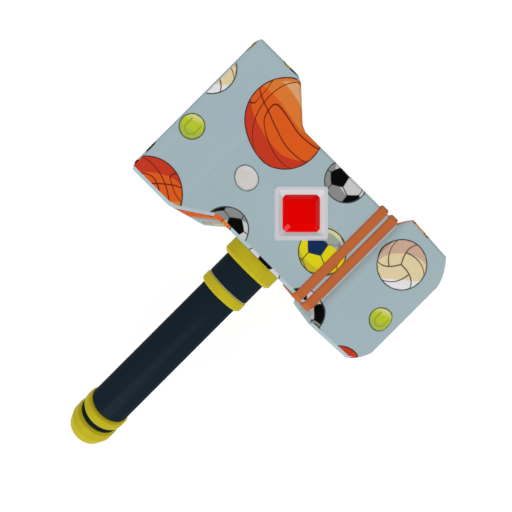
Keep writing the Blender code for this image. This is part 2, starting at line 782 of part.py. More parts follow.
def gem_bezel(finish):
    base = NECK_HALF + FIT_GAP
    top_half = BEZEL_HALF - BEZEL_OUTER_SLOPE
    corner = chamfer_inside(GEM_CORNER, -FIT_GAP)
    stations = [
        (top_half - BEZEL_TOP_WIDTH, BEZEL_CORNER, BEZEL_TOP),
        (top_half, BEZEL_CORNER, BEZEL_TOP),
        (BEZEL_HALF, BEZEL_CORNER, base),
        (OPENING_HALF, corner, base),
        (OPENING_HALF, corner, BEZEL_TOP - BEZEL_INNER_DROP),
    ]
    bezel = squared("gem_bezel", stations, finish, DIAMOND, ring=True)
    stake = NECK_INSIDE - FIT_GAP
    stake_foot = stake - PEG_HEAD_HEIGHT
    join(bezel, rods("peg_tool", upright(PEG_RADIUS, peg_spots(), stake_foot + FIT_GAP, base + EMBED)))
    join(bezel, rods("peg_head_tool", upright(PEG_HEAD_RADIUS, peg_spots(), stake_foot, stake)))
    return bezel


def gem_button(finish):
    lip = GEM_HALF + BUTTON_LIP
    girdle = GEM_HALF - GEM_BEVEL
    stations = [
        (girdle - GEM_TABLE_BEVEL, GEM_CORNER, GEM_TOP),
        (girdle, GEM_CORNER, GEM_TOP - GEM_TABLE_DROP),
        (GEM_HALF, GEM_CORNER, GEM_TOP - GEM_RISE),
        (GEM_HALF, GEM_CORNER, LIP_TOP),
        (lip, GEM_CORNER, LIP_TOP),
        (lip, GEM_CORNER, LIP_BOTTOM),
    ]
    gem = squared("gem_button", stations, finish, DIAMOND)
    stem = [(STEM_RADIUS, (0, 0, STEM_BOTTOM), (0, 0, LIP_BOTTOM + EMBED))]
    join(gem, rods("stem_tool", stem, sides=INNER_SIDES))
    return gem


def button_guide(finish):
    half = GUIDE_BOSS_REACH + GUIDE_MARGIN
    plate = [(half, GUIDE_CORNER, GUIDE_TOP), (half, GUIDE_CORNER, GUIDE_BOTTOM)]
    guide = squared("button_guide", plate, finish, DIAMOND)
    bore = STEM_RADIUS + FIT_GAP
    sleeve_top = GUIDE_TOP + GUIDE_SLEEVE_HEIGHT
    sleeve = upright(bore + GUIDE_SLEEVE_WALL, [(0, 0)], GUIDE_BOTTOM + EMBED, sleeve_top)
    join(guide, rods("guide_sleeve_tool", sleeve, sides=INNER_SIDES))
    low, high = GUIDE_BOTTOM - OVERCUT, sleeve_top + OVERCUT
    cut(guide, rods("guide_bore_tool", upright(bore, [(0, 0)], low, high), sides=INNER_SIDES))
    holes = upright(LAMP_WINDOW_RADIUS, [(0, LAMP_REACH), (0, -LAMP_REACH)], low, high)
    holes += upright(SMALL_SCREW_RADIUS + FIT_GAP, guide_screw_spots(), low, high)
    cut(guide, rods("guide_hole_tool", holes))
    return guide


def circuit_board(finish):
    low = (-BOARD_LENGTH / 2, -BOARD_WIDTH / 2, BOARD_BOTTOM)
    high = (BOARD_LENGTH / 2, BOARD_WIDTH / 2, BOARD_TOP)
    board = box("circuit_board", low, high, finish)
    holes = upright(
        SMALL_SCREW_RADIUS + FIT_GAP, board_screw_spots(), BOARD_BOTTOM - OVERCUT, BOARD_TOP + OVERCUT
    )
    cut(board, rods("board_hole_tool", holes))
    return board


def button_switch(finish):
    half = SWITCH_SIDE / 2
    top = SWITCH_BASE + SWITCH_HEIGHT
    switch = box("button_switch", (-half, -half, SWITCH_BASE), (half, half, top), finish)
    plunger = upright(PLUNGER_RADIUS, [(0, 0)], top - EMBED, PLUNGER_TOP)
    join(switch, rods("plunger_tool", plunger, sides=INNER_SIDES))
    return switch


def gem_lamps(finish):
    """Two round lamps with domed tops, either side of the switch."""
    rings = 4
    dome = [
        (LAMP_RADIUS * math.sin(math.pi * i / 2 / rings), LAMP_RADIUS * math.cos(math.pi * i / 2 / rings))
        for i in range(rings + 1)
    ]
    profile = [(radius, LAMP_BODY + height) for radius, height in dome] + [(LAMP_RADIUS, 0), (0, 0)]
    pattern = turned("lamp_pattern", profile, sides=SMALL_SIDES, turn=OUT_OF_FACE)
    spots = [(0, side * LAMP_REACH, SWITCH_BASE) for side in (-1, 1)]
    copies("gem_lamp", pattern, spots, finish)


def sound_chip(finish):
    half = CHIP_SIDE / 2
    middle = -BOARD_LENGTH / 2 + CHIP_INSET
    low = (middle - half, -half, SWITCH_BASE)
    high = (middle + half, half, SWITCH_BASE + CHIP_HEIGHT)
    return box("sound_chip", low, high, finish)


def speaker(finish):
    shoulder = SPEAKER_RIM_TOP + SPEAKER_BASKET
    top = shoulder + SPEAKER_MAGNET_HEIGHT
    dish = SPEAKER_FRONT + SPEAKER_DISH
    profile = [
        (0, top),
        (SPEAKER_MAGNET_RADIUS, top),
        (SPEAKER_MAGNET_RADIUS, shoulder),
        (SPEAKER_CONE_RADIUS, SPEAKER_RIM_TOP),
        (SPEAKER_RIM_RADIUS, SPEAKER_RIM_TOP),
        (SPEAKER_RIM_RADIUS, SPEAKER_FRONT),
        (SPEAKER_CONE_RADIUS, SPEAKER_FRONT),
        (SPEAKER_DUST_CAP_RADIUS, dish),
        (0, dish),
    ]
    return turned("speaker", profile, finish, INNER_SIDES, OUT_OF_FACE)


def speaker_clamp(finish):
    inner = SPEAKER_RIM_RADIUS - CLAMP_LAND
    outer = SPEAKER_SCREW_REACH + CLAMP_MARGIN
    profile = [(outer, CLAMP_TOP), (outer, CLAMP_BOTTOM), (inner, CLAMP_BOTTOM), (inner, CLAMP_TOP)]
    clamp = turned("speaker_clamp", profile, finish, INNER_SIDES, OUT_OF_FACE)
    hole = SMALL_SCREW_RADIUS + FIT_GAP
    holes = upright(hole, speaker_screw_spots(), CLAMP_BOTTOM - OVERCUT, CLAMP_TOP + OVERCUT)
    cut(clamp, rods("clamp_hole_tool", holes))
    return clamp


def speaker_screws(finish):
    """Screws that point down, into the posts in the back of the neck."""
    under_head = CLAMP_TOP + FIT_GAP
    top = under_head + SMALL_SCREW_HEAD_HEIGHT
    tip = CLAMP_TOP - SPEAKER_SCREW_LENGTH + FIT_GAP
    profile = [
        (0, top),
        (SMALL_SCREW_HEAD_RADIUS, top),
        (SMALL_SCREW_HEAD_RADIUS, under_head),
        (SMALL_SCREW_RADIUS, under_head),
        (SMALL_SCREW_RADIUS, tip),
        (0, tip),
    ]
    pattern = turned("speaker_screw_pattern", profile, sides=SMALL_SIDES, turn=OUT_OF_FACE)
    spots = [(x, y, 0) for x, y in speaker_screw_spots()]
    copies("speaker_screw", pattern, spots, finish)


def thread_path(start_angle):
    """The path of one cap lug as it unscrews, started early and run out past the core's end."""
    lead_in = GROOVE_LEAD_IN / CORE_RADIUS
    run_out = CAP_TURN * OVERCUT / CAP_TRAVEL
    steps = 30
    points = []
    for step in range(steps + 1):
        turn = -lead_in + (CAP_TURN + run_out + lead_in) * step / steps
        level = LUG_LEVEL + CAP_TRAVEL * turn / CAP_TURN
        angle = start_angle + turn
        points.append((CORE_RADIUS * math.cos(angle), -level, CORE_RADIUS * math.sin(angle)))
    return points


def thread_angles():
    return [2 * math.pi * i / THREAD_STARTS for i in range(THREAD_STARTS)]


def handle_core(finish):
    solid = [(0, -CORE_TOP), (CORE_RADIUS, -CORE_TOP), (CORE_RADIUS, -CORE_END), (0, -CORE_END)]
    core = turned("handle_core", solid, finish)
    flange_low = -NECK_INSIDE + FIT_GAP
    flange_high = flange_low + FLANGE_THICKNESS
    flange = (-FLANGE_HALF, flange_low, -FLANGE_HALF), (FLANGE_HALF, flange_high, FLANGE_HALF)
    join(core, box("flange_tool", *flange))
    throat = CORE_BORE_RADIUS - CORE_LEDGE
    past_top, past_end = -CORE_TOP + OVERCUT, -CORE_END - OVERCUT
    bore = [
        (0, past_top),
        (throat, past_top),
        (throat, -LEDGE_LEVEL),
        (CORE_BORE_RADIUS, -LEDGE_LEVEL),
        (CORE_BORE_RADIUS, past_end),
        (0, past_end),
    ]
    cut(core, turned("bore_tool", bore, sides=INNER_SIDES))

    slot_half = STRIP_WIDTH / 2 + FIT_GAP
    slot_out = STRIP_OFFSET + CONTACT_THICKNESS + FIT_GAP
    slot_top = -(STRIP_TOP - STRIP_SLOT_SPARE)
    strip_slot = (-slot_half, past_end, throat - EMBED), (slot_half, slot_top, slot_out)
    cut(core, box("strip_slot_tool", *strip_slot))
    key_half = KEY_WIDTH / 2 + FIT_GAP
    key_out = CARRIER_RADIUS + KEY_HEIGHT + FIT_GAP
    keyway = (-key_half, past_end, -key_out), (key_half, -CARRIER_TOP + FIT_GAP, -throat + EMBED)
    cut(core, box("keyway_tool", *keyway))
    for number, angle in enumerate(thread_angles()):
        groove = wire(f"thread_groove_tool_{number}", thread_path(angle), GROOVE_RADIUS, resolution=2)
        cut(core, groove)
    return core


def collar(finish):
    end = COLLAR_TOP + COLLAR_LENGTH
    profile = [
        (COLLAR_RADIUS, -COLLAR_TOP),
        (COLLAR_RADIUS, -end + COLLAR_BEVEL),
        (COLLAR_RADIUS - COLLAR_BEVEL, -end),
        (SLEEVE_BORE, -end),
        (SLEEVE_BORE, -COLLAR_TOP),
    ]
    return turned("collar", profile, finish)


def sleeves(dark, grip, yellow, rubber):
    """Everything that slides over the core, from the collar down to the pommel's seal."""
    def sleeve(name, radius, top, length, finish, bevel=0.0):
        return tube(name, radius, SLEEVE_BORE, top, top + length, finish, bevel)

    collar(yellow)
    sleeve("upper_sleeve", UPPER_SLEEVE_RADIUS, UPPER_SLEEVE_TOP, UPPER_SLEEVE_LENGTH, dark)
    sleeve("middle_ring", MIDDLE_RING_RADIUS, MIDDLE_RING_TOP, MIDDLE_RING_LENGTH, yellow, RING_BEVEL)
    sleeve("grip_sleeve", GRIP_RADIUS, GRIP_TOP, GRIP_LENGTH, grip)
    sleeve("lower_ring", LOWER_RING_RADIUS, LOWER_RING_TOP, LOWER_RING_LENGTH, yellow, RING_BEVEL)
    sleeve("pommel_seal", SEAL_RADIUS, SEAL_TOP, SEAL_LENGTH, rubber)


def pommel_cap(finish):
    """The screw cap: a cup with two lugs inside and a headed post that holds the carrier."""
    bevel_top = POMMEL_END - POMMEL_BOTTOM_BEVEL_DROP
    profile = [
        (0, -CAP_FLOOR),
        (SLEEVE_BORE, -CAP_FLOOR),
        (SLEEVE_BORE, -POMMEL_TOP),
        (POMMEL_RADIUS - POMMEL_TOP_BEVEL, -POMMEL_TOP),
        (POMMEL_RADIUS, -POMMEL_TOP - POMMEL_TOP_BEVEL),
        (POMMEL_RADIUS, -bevel_top),
        (POMMEL_RADIUS - POMMEL_BOTTOM_BEVEL_RUN, -POMMEL_END),
        (0, -POMMEL_END),
    ]
    cap = turned("pommel_cap", profile, finish)
    head_low = CARRIER_END - CARRIER_LEDGE - FIT_GAP
    post = [
        (0, -head_low + POST_HEAD_HEIGHT),
        (POST_HEAD_RADIUS, -head_low + POST_HEAD_HEIGHT),
        (POST_HEAD_RADIUS, -head_low),
        (POST_RADIUS, -head_low),
        (POST_RADIUS, -CAP_FLOOR - EMBED),
        (0, -CAP_FLOOR - EMBED),
    ]
    join(cap, turned("post_tool", post, sides=SMALL_SIDES))
    spans = []
    for angle in thread_angles():
        way = Vector((math.cos(angle), 0, math.sin(angle)))
        centre = Vector((0, -LUG_LEVEL, 0))
        inner, outer = SLEEVE_BORE - LUG_HEIGHT, SLEEVE_BORE + EMBED
        spans.append((LUG_RADIUS, centre + way * inner, centre + way * outer))
    join(cap, rods("lug_tool", spans))
    return cap


def tail_carrier(finish):
    ledge = CARRIER_END - CARRIER_LEDGE
    neck = POST_RADIUS + FIT_GAP
    recess = POST_HEAD_RADIUS + FIT_GAP
    profile = [
        (0, -CARRIER_TOP),
        (CARRIER_RADIUS, -CARRIER_TOP),
        (CARRIER_RADIUS, -CARRIER_END),
        (neck, -CARRIER_END),
        (neck, -ledge),
        (recess, -ledge),
        (recess, -CARRIER_TOP - CARRIER_ROOF),
        (0, -CARRIER_TOP - CARRIER_ROOF),
    ]
    carrier = turned("tail_carrier", profile, finish, INNER_SIDES)
    half = KEY_WIDTH / 2
    key = (-half, -CARRIER_END, -CARRIER_RADIUS - KEY_HEIGHT), (half, -CARRIER_TOP, -CARRIER_RADIUS + EMBED)
    join(carrier, box("key_tool", *key))
    return carrier


def disc(name, radius, top, bottom, finish, sides=INNER_SIDES):
    """A round plate between two distances down the handle."""
    return turned(name, [(0, -top), (radius, -top), (radius, -bottom), (0, -bottom)], finish, sides)


def tail_contact(finish):
    """The plate under the cells' spring, with a tab that wipes the return strip."""
    bottom = TAIL_CONTACT_TOP + CONTACT_THICKNESS
    plate = disc("tail_contact", CONTACT_RADIUS, TAIL_CONTACT_TOP, bottom, finish)
    half = STRIP_WIDTH / 2
    tab = (-half, -bottom, 0), (half, -TAIL_CONTACT_TOP, STRIP_OFFSET - FIT_GAP)
    join(plate, box("tab_tool", *tab))
    return plate


def cell(name, end, finish):
    top = end - CELL_TOTAL
    profile = [
        (0, -top),
        (CELL_NUB_RADIUS, -top),
        (CELL_NUB_RADIUS, -top - CELL_NUB_HEIGHT),
        (CELL_RADIUS, -top - CELL_NUB_HEIGHT),
        (CELL_RADIUS, -end),
        (0, -end),
    ]
    return turned(name, profile, finish, INNER_SIDES)


def contact_plug(finish):
    hole = WIRE_RADIUS + FIT_GAP
    return tube("contact_plug", CARRIER_RADIUS, hole, PLUG_TOP, PLUG_END, finish, sides=INNER_SIDES)


def return_strip(finish):
    half = STRIP_WIDTH / 2
    low = (-half, -CARRIER_TOP - STRIP_OVERLAP, STRIP_OFFSET)
    return box("return_strip", low, (half, -STRIP_TOP, STRIP_OFFSET + CONTACT_THICKNESS), finish)


def cell_leads(red, black):
    """The two wires from the cells' contacts, up the core's bore to the back of the board."""
    landing_y = -BOARD_WIDTH / 2 + LEAD_LANDING_INSET
    mouth = -CORE_TOP
    positive_start = [(0, -PLUG_END, 0), (0, -PLUG_TOP + LEAD_STRAIGHT, 0)]
    strip_side = STRIP_OFFSET - FIT_GAP - WIRE_RADIUS
    negative_start = [
        (0, -STRIP_TOP - STRIP_OVERLAP / 2, strip_side),
        (0, -STRIP_TOP + STRIP_OVERLAP / 2, strip_side),
        (LEAD_GAP / 4, -STRIP_TOP + LEAD_STRAIGHT, strip_side / 2),
    ]
    for name, side, start, finish in (
        ("positive_lead", -1, positive_start, red),
        ("negative_lead", 1, negative_start, black),
    ):
        x = side * LEAD_GAP / 2
        land_x = side * LEAD_GAP
        route = start + [(x, mouth - LEAD_MOUTH_STRAIGHT, 0), (x, mouth, 0)]
        route.append((land_x, (mouth + landing_y) / 2, BOARD_BOTTOM / 3))
        route.append((land_x, landing_y, 2 * BOARD_BOTTOM / 3))
        route.append((land_x, landing_y, BOARD_BOTTOM - FIT_GAP))
        wire(name, smooth_route(route), WIRE_RADIUS, finish)


def speaker_leads(finish):
    """Two wires from the back of the board to the speaker's basket."""
    x, y = LEAD_GAP / 2, SPEAKER_LEAD_REACH
    reach = math.hypot(x, y)
    slope = SPEAKER_BASKET / (SPEAKER_CONE_RADIUS - SPEAKER_MAGNET_RADIUS)
    basket = SPEAKER_RIM_TOP + slope * (SPEAKER_CONE_RADIUS - reach)
    low = basket + FIT_GAP + slope * WIRE_RADIUS
    high = BOARD_BOTTOM - FIT_GAP
    bow = y + SPEAKER_LEAD_BOW
    for number, side in enumerate((-1, 1), 1):
        route = [(side * x, y, low), (side * x, bow, (low + high) / 2), (side * x, y, high)]
        wire(f"speaker_lead_{number}", smooth_route(route), WIRE_RADIUS, finish)


def build():
    blue = look("head_blue", 158, 178, 184, 0.45)
    orange = look("band_orange", 186, 100, 54, 0.55)
    silver = look("bezel_silver", 205, 205, 208, 0.30)
    red = look("gem_red", 222, 4, 4, 0.15)
    yellow = look("ring_yellow", 189, 175, 37, 0.40)
    navy = look("sleeve_navy", 24, 36, 46, 0.45)
    grip = look("grip_navy", 24, 36, 46, 0.65)
    rubber = look("seal_black", 18, 24, 30, 0.70)
    white = look("inner_white", 215, 215, 210, 0.50)
    black = look("core_black", 30, 32, 35, 0.50)
    steel = look("steel", 190, 190, 192, 0.30, 1.0)
    green = look("board_green", 28, 92, 52, 0.40)
    lamp = look("lamp_clear", 235, 235, 240, 0.10)
    jacket = look("cell_jacket", 96, 102, 108, 0.35, 0.6)
    red_wire = look("wire_red", 170, 22, 20, 0.45)
    black_wire = look("wire_black", 22, 22, 24, 0.45)

    shared = shared_head_tools()
    front_shell(shared, blue)
    rear_shell(shared, blue)
    closing_screws(steel)
    bands(orange)
    gem_bezel(silver)
    gem_button(red)
    button_guide(white)
    spring_low, spring_high = GUIDE_TOP + FIT_GAP, LIP_BOTTOM - FIT_GAP
    coil("button_spring", SPRING_RADIUS, SPRING_WIRE, SPRING_TURNS, spring_low, spring_high, steel)
    circuit_board(green)
    button_switch(black)
    gem_lamps(lamp)
    sound_chip(black)
    small_screws(steel)
    speaker(black)
    speaker_clamp(white)
    speaker_screws(steel)
    handle_core(black)
    sleeves(navy, grip, yellow, rubber)
    pommel_cap(yellow)
    tail_carrier(white)
    tail_contact(steel)
    spring_top = LOWER_CELL_END + FIT_GAP
    tail_spring_span = (-TAIL_SPRING_END, -spring_top)
    coil(
        "tail_spring",
        TAIL_SPRING_RADIUS,
        TAIL_SPRING_WIRE,
        TAIL_SPRING_TURNS,
        *tail_spring_span,
        steel,
        axis_y=True,
    )
    cell("lower_cell", LOWER_CELL_END, jacket)
    cell("upper_cell", UPPER_CELL_END, jacket)
    disc("top_contact", CONTACT_RADIUS, TOP_CONTACT_END - CONTACT_THICKNESS, TOP_CONTACT_END, steel)
    contact_plug(white)
    return_strip(steel)
    cell_leads(red_wire, black_wire)
    speaker_leads(black_wire)


clear_scene()
PIECES = new_collection("throwing_hammer")
TOOLS = new_collection("cutters")
FRAME = hammer_frame()
build()
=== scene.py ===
# The looks of the toy throwing hammer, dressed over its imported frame.
# Metres, +Z up. The hammer lies on its back with the red button facing +Z. Patterns are laid out
# in the hammer's own frame in millimetres: x along the head to its small end, y up the handle to
# the head, z out of the face, from the point where the head's and the handle's axes cross.

import math

import bmesh
import bpy
from mathutils import Matrix, Vector


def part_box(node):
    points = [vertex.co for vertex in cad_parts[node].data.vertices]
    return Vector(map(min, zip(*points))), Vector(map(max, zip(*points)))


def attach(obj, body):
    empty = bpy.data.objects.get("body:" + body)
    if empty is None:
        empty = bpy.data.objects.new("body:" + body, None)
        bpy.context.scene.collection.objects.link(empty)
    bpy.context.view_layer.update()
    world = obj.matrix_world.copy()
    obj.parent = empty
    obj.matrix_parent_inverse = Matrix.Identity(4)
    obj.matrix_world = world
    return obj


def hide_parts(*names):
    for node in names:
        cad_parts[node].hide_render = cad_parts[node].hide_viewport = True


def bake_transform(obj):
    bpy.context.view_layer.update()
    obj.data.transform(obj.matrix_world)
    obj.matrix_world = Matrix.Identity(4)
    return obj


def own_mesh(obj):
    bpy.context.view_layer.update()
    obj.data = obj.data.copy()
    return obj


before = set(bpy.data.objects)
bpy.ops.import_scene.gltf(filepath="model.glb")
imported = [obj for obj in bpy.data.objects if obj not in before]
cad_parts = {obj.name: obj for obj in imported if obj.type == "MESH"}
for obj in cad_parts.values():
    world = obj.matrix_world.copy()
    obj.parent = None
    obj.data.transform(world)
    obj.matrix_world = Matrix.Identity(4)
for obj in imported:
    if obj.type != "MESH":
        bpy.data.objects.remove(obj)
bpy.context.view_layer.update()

CROSSING = Vector((-0.0030, 0.0892, 0.0585))
MM = 0.001
PHI = (1 + math.sqrt(5)) / 2

# Places along the head, in mm
END_SKIN = -95.9
BLOCK_TO_RAMP = -61.0
RAMP_TO_NECK = -41.0
FLARE_START, FLARE_END = 51.5, 56.0
NECK_TO_BLOCK = 53.0
BEVELS_START = 92.0
SMALL_END = 104.0

# Where the bezel's inner slopes lie: |x| + |y| below this, in mm
BEZEL_REACH = 22.0

# In mm, how far down the handle the middle ring's painted highlight line is, and where the grip's
# painted sheen streak starts, is full and is widest; then how far from the middle of the front it
# runs
EDGE_HIGHLIGHT_DOWN = 75.9
SHEEN_STARTS, SHEEN_FULL, SHEEN_WIDEST = 97.0, 112.0, 205.0
SHEEN_ASIDE = 3.5

# Regions of the printed skin, told apart by a large step along the first print coordinate
FRONT, BACK, TOP, BOTTOM, LEFT, RIGHT, PLAIN = (1000.0 * i for i in range(7))
REGIONS = {
    "front": FRONT, "back": BACK, "top": TOP, "bottom": BOTTOM, "left": LEFT, "right": RIGHT
}
SIDES = ("top", "bottom", "left", "right")

# Prints: kind, region, centre and radius in mm, the place of the ball's pole in radii, then two
# angles in degrees: where its pattern runs from the pole, and where its painted light comes from
PRINTS = [
    ("basketball", "front", -47.9, 32.5, 27.0, (-0.67, -0.09), -8, 94),
    ("tennis", "front", -87.3, -12.7, 8.5, (0.04, 0.0), 90, 112),
    ("golf", "front", -42.5, -9.5, 8.3, (0.0, 0.0), 0, 120),
    ("volleyball", "front", -104.4, 21.8, 16.3, (-0.03, -0.01), 119, -50),
    ("basketball", "front", -78.5, -62.7, 23.3, (0.21, 0.53), 48, -45),
    ("soccer", "front", -28.5, -43.4, 15.6, (0.20, 0.35), 90, -30),
    ("soccer", "front", 6.2, 37.6, 15.3, (-0.36, -0.12), -22, 70),
    ("playball", "front", 28.7, -8.0, 16.7, (-0.36, 0.03), 46, 100),
    ("volleyball", "front", 71.1, 22.1, 17.1, (-0.03, -0.01), 119, -50),
    ("tennis", "front", 87.3, -13.2, 8.4, (0.04, 0.0), 90, 112),
    ("soccer", "front", 46.4, -46.8, 15.6, (0.70, 0.55), 100, 135),
    ("basketball", "front", 90.6, -55.6, 15.4, (0.60, -0.30), 20, -95),
    ("playball", "front", 60.0, -52.0, 6.6, (0.0, -0.5), 30, -90),
    ("basketball", "bottom", -50.0, 36.0, 24.0, (0.45, -0.50), 75, -50),
    ("soccer", "bottom", 6.5, 35.0, 15.5, (0.0, 0.55), 90, 90),
    ("playball", "bottom", 71.0, 26.0, 11.5, (0.2, -0.3), 30, -90),
    ("tennis", "bottom", -79.0, -24.0, 8.4, (0.05, 0.10), -60, 100),
    ("volleyball", "bottom", -42.0, -22.0, 14.0, (0.1, 0.2), 40, -30),
    ("basketball", "bottom", 76.0, -16.0, 16.0, (-0.5, 0.2), 20, 110),
    ("playball", "top", -69.8, 47.2, 11.6, (0.40, 0.72), 180, -90),
    ("basketball", "top", 60.0, 38.0, 14.5, (0.4, -0.3), 140, 90),
    ("soccer", "top", -30.0, 8.0, 15.5, (-0.2, 0.3), 60, 45),
    ("volleyball", "top", 12.0, -18.0, 16.0, (0.1, -0.1), 15, -40),
    ("tennis", "top", 22.0, 24.0, 8.4, (0.0, 0.1), -120, 115),
    ("golf", "top", -66.0, -2.0, 8.2, (0.0, 0.0), 0, 90),
    ("basketball", "top", -78.0, -40.0, 22.0, (-0.3, 0.5), 300, 80),
    ("soccer", "top", 78.0, -20.0, 15.0, (0.3, 0.3), 10, 70),
    ("playball", "left", 51.3, 49.0, 9.5, (0.1, -0.5), 90, -90),
    ("soccer", "left", -46.5, 46.0, 15.5, (0.58, 0.70), 180, 90),
    ("basketball", "left", 6.0, 2.0, 27.0, (-0.65, 0.1), -15, 120),
    ("tennis", "left", -36.0, -8.0, 8.4, (0.0, 0.1), -70, 115),
    ("volleyball", "left", -30.0, -42.0, 15.0, (0.1, 0.1), 70, -50),
    ("golf", "left", 44.0, -6.0, 8.2, (0.0, 0.0), 0, 90),
    ("soccer", "left", 38.0, -42.0, 15.5, (0.35, 0.2), -20, 60),
    ("basketball", "right", 28.0, 30.0, 9.0, (0.4, 0.3), 45, 90),
    ("soccer", "right", -10.0, 6.0, 15.5, (0.25, -0.2), 80, 60),
    ("tennis", "right", 21.0, -18.0, 8.4, (0.0, 0.1), -100, 115),
    ("basketball", "back", 66.0, 24.0, 20.0, (-0.6, 0.0), 10, 120),
    ("soccer", "back", -82.0, 10.0, 15.6, (0.3, 0.3), 30, 60),
    ("volleyball", "back", -48.0, -38.0, 17.0, (0.0, 0.1), 25, -50),
    ("tennis", "back", -66.0, 38.0, 8.4, (0.0, 0.1), -80, 115),
    ("golf", "back", -88.0, -20.0, 8.2, (0.0, 0.0), 0, 90),
    ("playball", "back", 74.0, -22.0, 16.0, (-0.3, 0.2), 45, 90),
    ("basketball", "back", -26.0, 34.0, 15.0, (0.5, 0.3), 170, 80),
    ("tennis", "back", 26.0, -31.0, 8.4, (0.0, 0.1), -110, 115),
    ("soccer", "back", 34.0, 40.0, 12.0, (-0.3, -0.3), 15, 60),
]

# For each kind of ball: its pole, the way its pattern runs from there, and how much of the
# ball the print shows, where 1 is a true half and less is a pattern drawn larger
POLES = {
    "basketball": ((0, 0, 1), (1, 0, 0), 1.0),
    "soccer": ((0, 1, PHI), (0, -1, PHI), 0.80),
    "playball": ((0, 1, PHI), (0, -1, PHI), 0.82),
    "volleyball": ((1, 1, 1), (1, 1, 0), 0.76),
    "tennis": ((0, 0, 1), (0, 1, 0), 1.0),
    "golf": ((0, 0, 1), (1, 0, 0), 1.0),
}

# The way to the painted light, seen on a ball whose light comes from along x
PAINTED_LIGHT = Vector((0.83, 0.0, 0.55)).normalized()

# The width of the line round a ball, and half the width of a line on it
OUTLINE_MM = 0.82
LINE_MM = 0.36
# Where each starts to fade and where it is gone, as shares of that width; the line round a ball
# is the least share of its width and, as it wavers, up to the rest more
LINE_FADES = (0.55, 1.25)
OUTLINE_FADES = (0.75, 1.3)
OUTLINE_LEAST, OUTLINE_MORE = 0.6, 0.8
# Half the softness at the edge of a ball's shade, of its lit cap and of its gleam
SHADE_SOFT, CAP_SOFT, GLINT_SOFT = 0.02, 0.015, 0.02

# How far a ball's five-sided spots and six-sided patches lie from its middle, in edges, and how
# fast the scores that tell them apart drift away from a seam and from a spot's rim, per radius
SPOT_REACH, PATCH_REACH = 2.32744, 2.26728
SEAM_SLOPE, SPOT_SLOPE = 0.315, 0.28

# The light: how bright the sky is, each lamp's strength and the way to it, and then how wide the
# lamps are in degrees and how far they stand off in metres
SKY = 0.30
LAMPS = [
    ("lamp_below", 1.80, (0.08, -0.82, 0.56)),
    ("lamp_right", 1.16, (0.85, 0.10, 0.50)),
    ("lamp_left", 0.86, (-0.85, -0.10, 0.50)),
    ("lamp_above", 0.42, (0.0, 0.85, 0.50)),
]
LAMP_SPREAD = 40
LAMP_DISTANCE = 0.5

# The floor: its size and drop in metres, its grey, and its glow, which is more where it is seen
FLOOR_SIZE = 3.0
FLOOR_DROP = 0.0002
FLOOR_GREY, FLOOR_ROUGHNESS = 0.42, 0.9
FLOOR_GLOW, FLOOR_GLOW_SEEN = 0.32, 0.28

# The camera: the way to it from the crossing in metres, its turn in degrees, its focal length and
# the picture's width in pixels, and the shift of the picture's middle in picture widths
CAMERA_STEP = Vector((0.0, -0.0410, 0.2573))
CAMERA_TURN = 45
SENSOR_MM = 36.0
FOCAL_PIXELS, PICTURE_PIXELS = 316.0, 512.0
SHIFT_X, SHIFT_Y = -0.0046, 0.0005

# Pieces turned about the handle's axis, in mm: radius, then start and end down the handle
TURNED = {
    "collar": (24.1, 42.6, 55.6),
    "upper_sleeve": (19.85, 55.9, 75.3),
    "middle_ring": (20.4, 75.6, 84.7),
    "grip_sleeve": (17.0, 85.0, 210.8),
    "lower_ring": (18.6, 211.1, 219.0),
    "pommel_seal": (17.0, 219.3, 222.7),
}
BORE = 12.3
RING_SIDES = 120
EASE_STEPS = 4
COLLAR_BEVEL, RING_BEVEL = 2.1, 1.3
BEVEL_RIM_EASE, BEVEL_SIDE_EASE, SQUARE_EDGE_EASE = 0.3, 0.4, 0.25

# Springs, in mm: the coil's radius and half the wire's width
BUTTON_SPRING = (8.0, 0.5)
TAIL_SPRING = (4.5, 0.45)
SPRING_TURNS = 4
FLAT_TURNS = 0.7
STEPS_PER_TURN = 36
WIRE_SIDES = 12

# Closing screws, in mm; the rounding is inwards from the head's rim and up from its face
SCREW_HEAD, SCREW_SHANK, SCREW_HEAD_HEIGHT = 3.0, 1.5, 2.4
SCREW_ROUNDING = ((0.5, 0.0), (0.15, 0.2), (0.0, 0.6))
SCREW_TIP, SCREW_TIP_SHARE = 1.2, 0.3
SCREW_SIDES = 48
CROSS_ARM, CROSS_HALF_WIDTH, CROSS_DEPTH = 1.9, 0.42, 1.3

# Colours that pieces share, in display values
YELLOW = (190, 176, 31)
SKIN_DARK, SKIN_LIGHT = (155, 175, 181), (160, 179, 185)
# The flare's paler colour and its strength are painted light that offsets the shade there; the
# worn colour pales the long edges' chamfers, partly wear and partly a painted highlight
SKIN_FLARE_PAINTED_LIGHT, SKIN_WORN_AND_LIT = (178, 202, 210), (178, 197, 203)
FLARE_PAINTED_LIGHT_STRENGTH = 0.6
WORN_AND_LIT_LEAST, WORN_AND_LIT_MORE = 0.15, 0.5

# How rough the bare skin and its prints are, what the grain adds to that and to the prints'
# colour, the strength and depth of its bump, and how much the skin shines
BARE_ROUGHNESS, PRINT_ROUGHNESS, GRAIN_ROUGHNESS = 0.70, 0.62, 0.12
SPECKLE = 0.5
SKIN_BUMP, SKIN_BUMP_MM, SKIN_SPECULAR = 0.12, 0.12, 0.02

# Noises, as (scale per mm, detail, roughness)
SKIN_DRIFT, SKIN_WEAR_AND_LIGHT, SKIN_GRAIN = (0.02, 3.0), (0.25, 2.0), (2.2, 3.0, 0.6)
OUTLINE_WOBBLE = (0.35, 1.0)
PLASTIC_DRIFT, PLASTIC_SMEAR = (0.05, 3.0), (0.12, 2.0)
GRAIN_DETAIL = (3.0, 0.6)
PLASTIC_BUMP_MM = 0.1


def rgb(red, green, blue):
    """A shader colour from 0 to 255 display values."""
    def linear(value):
        value /= 255
        return value / 12.92 if value <= 0.04045 else ((value + 0.055) / 1.055) ** 2.4

    return (linear(red), linear(green), linear(blue), 1.0)


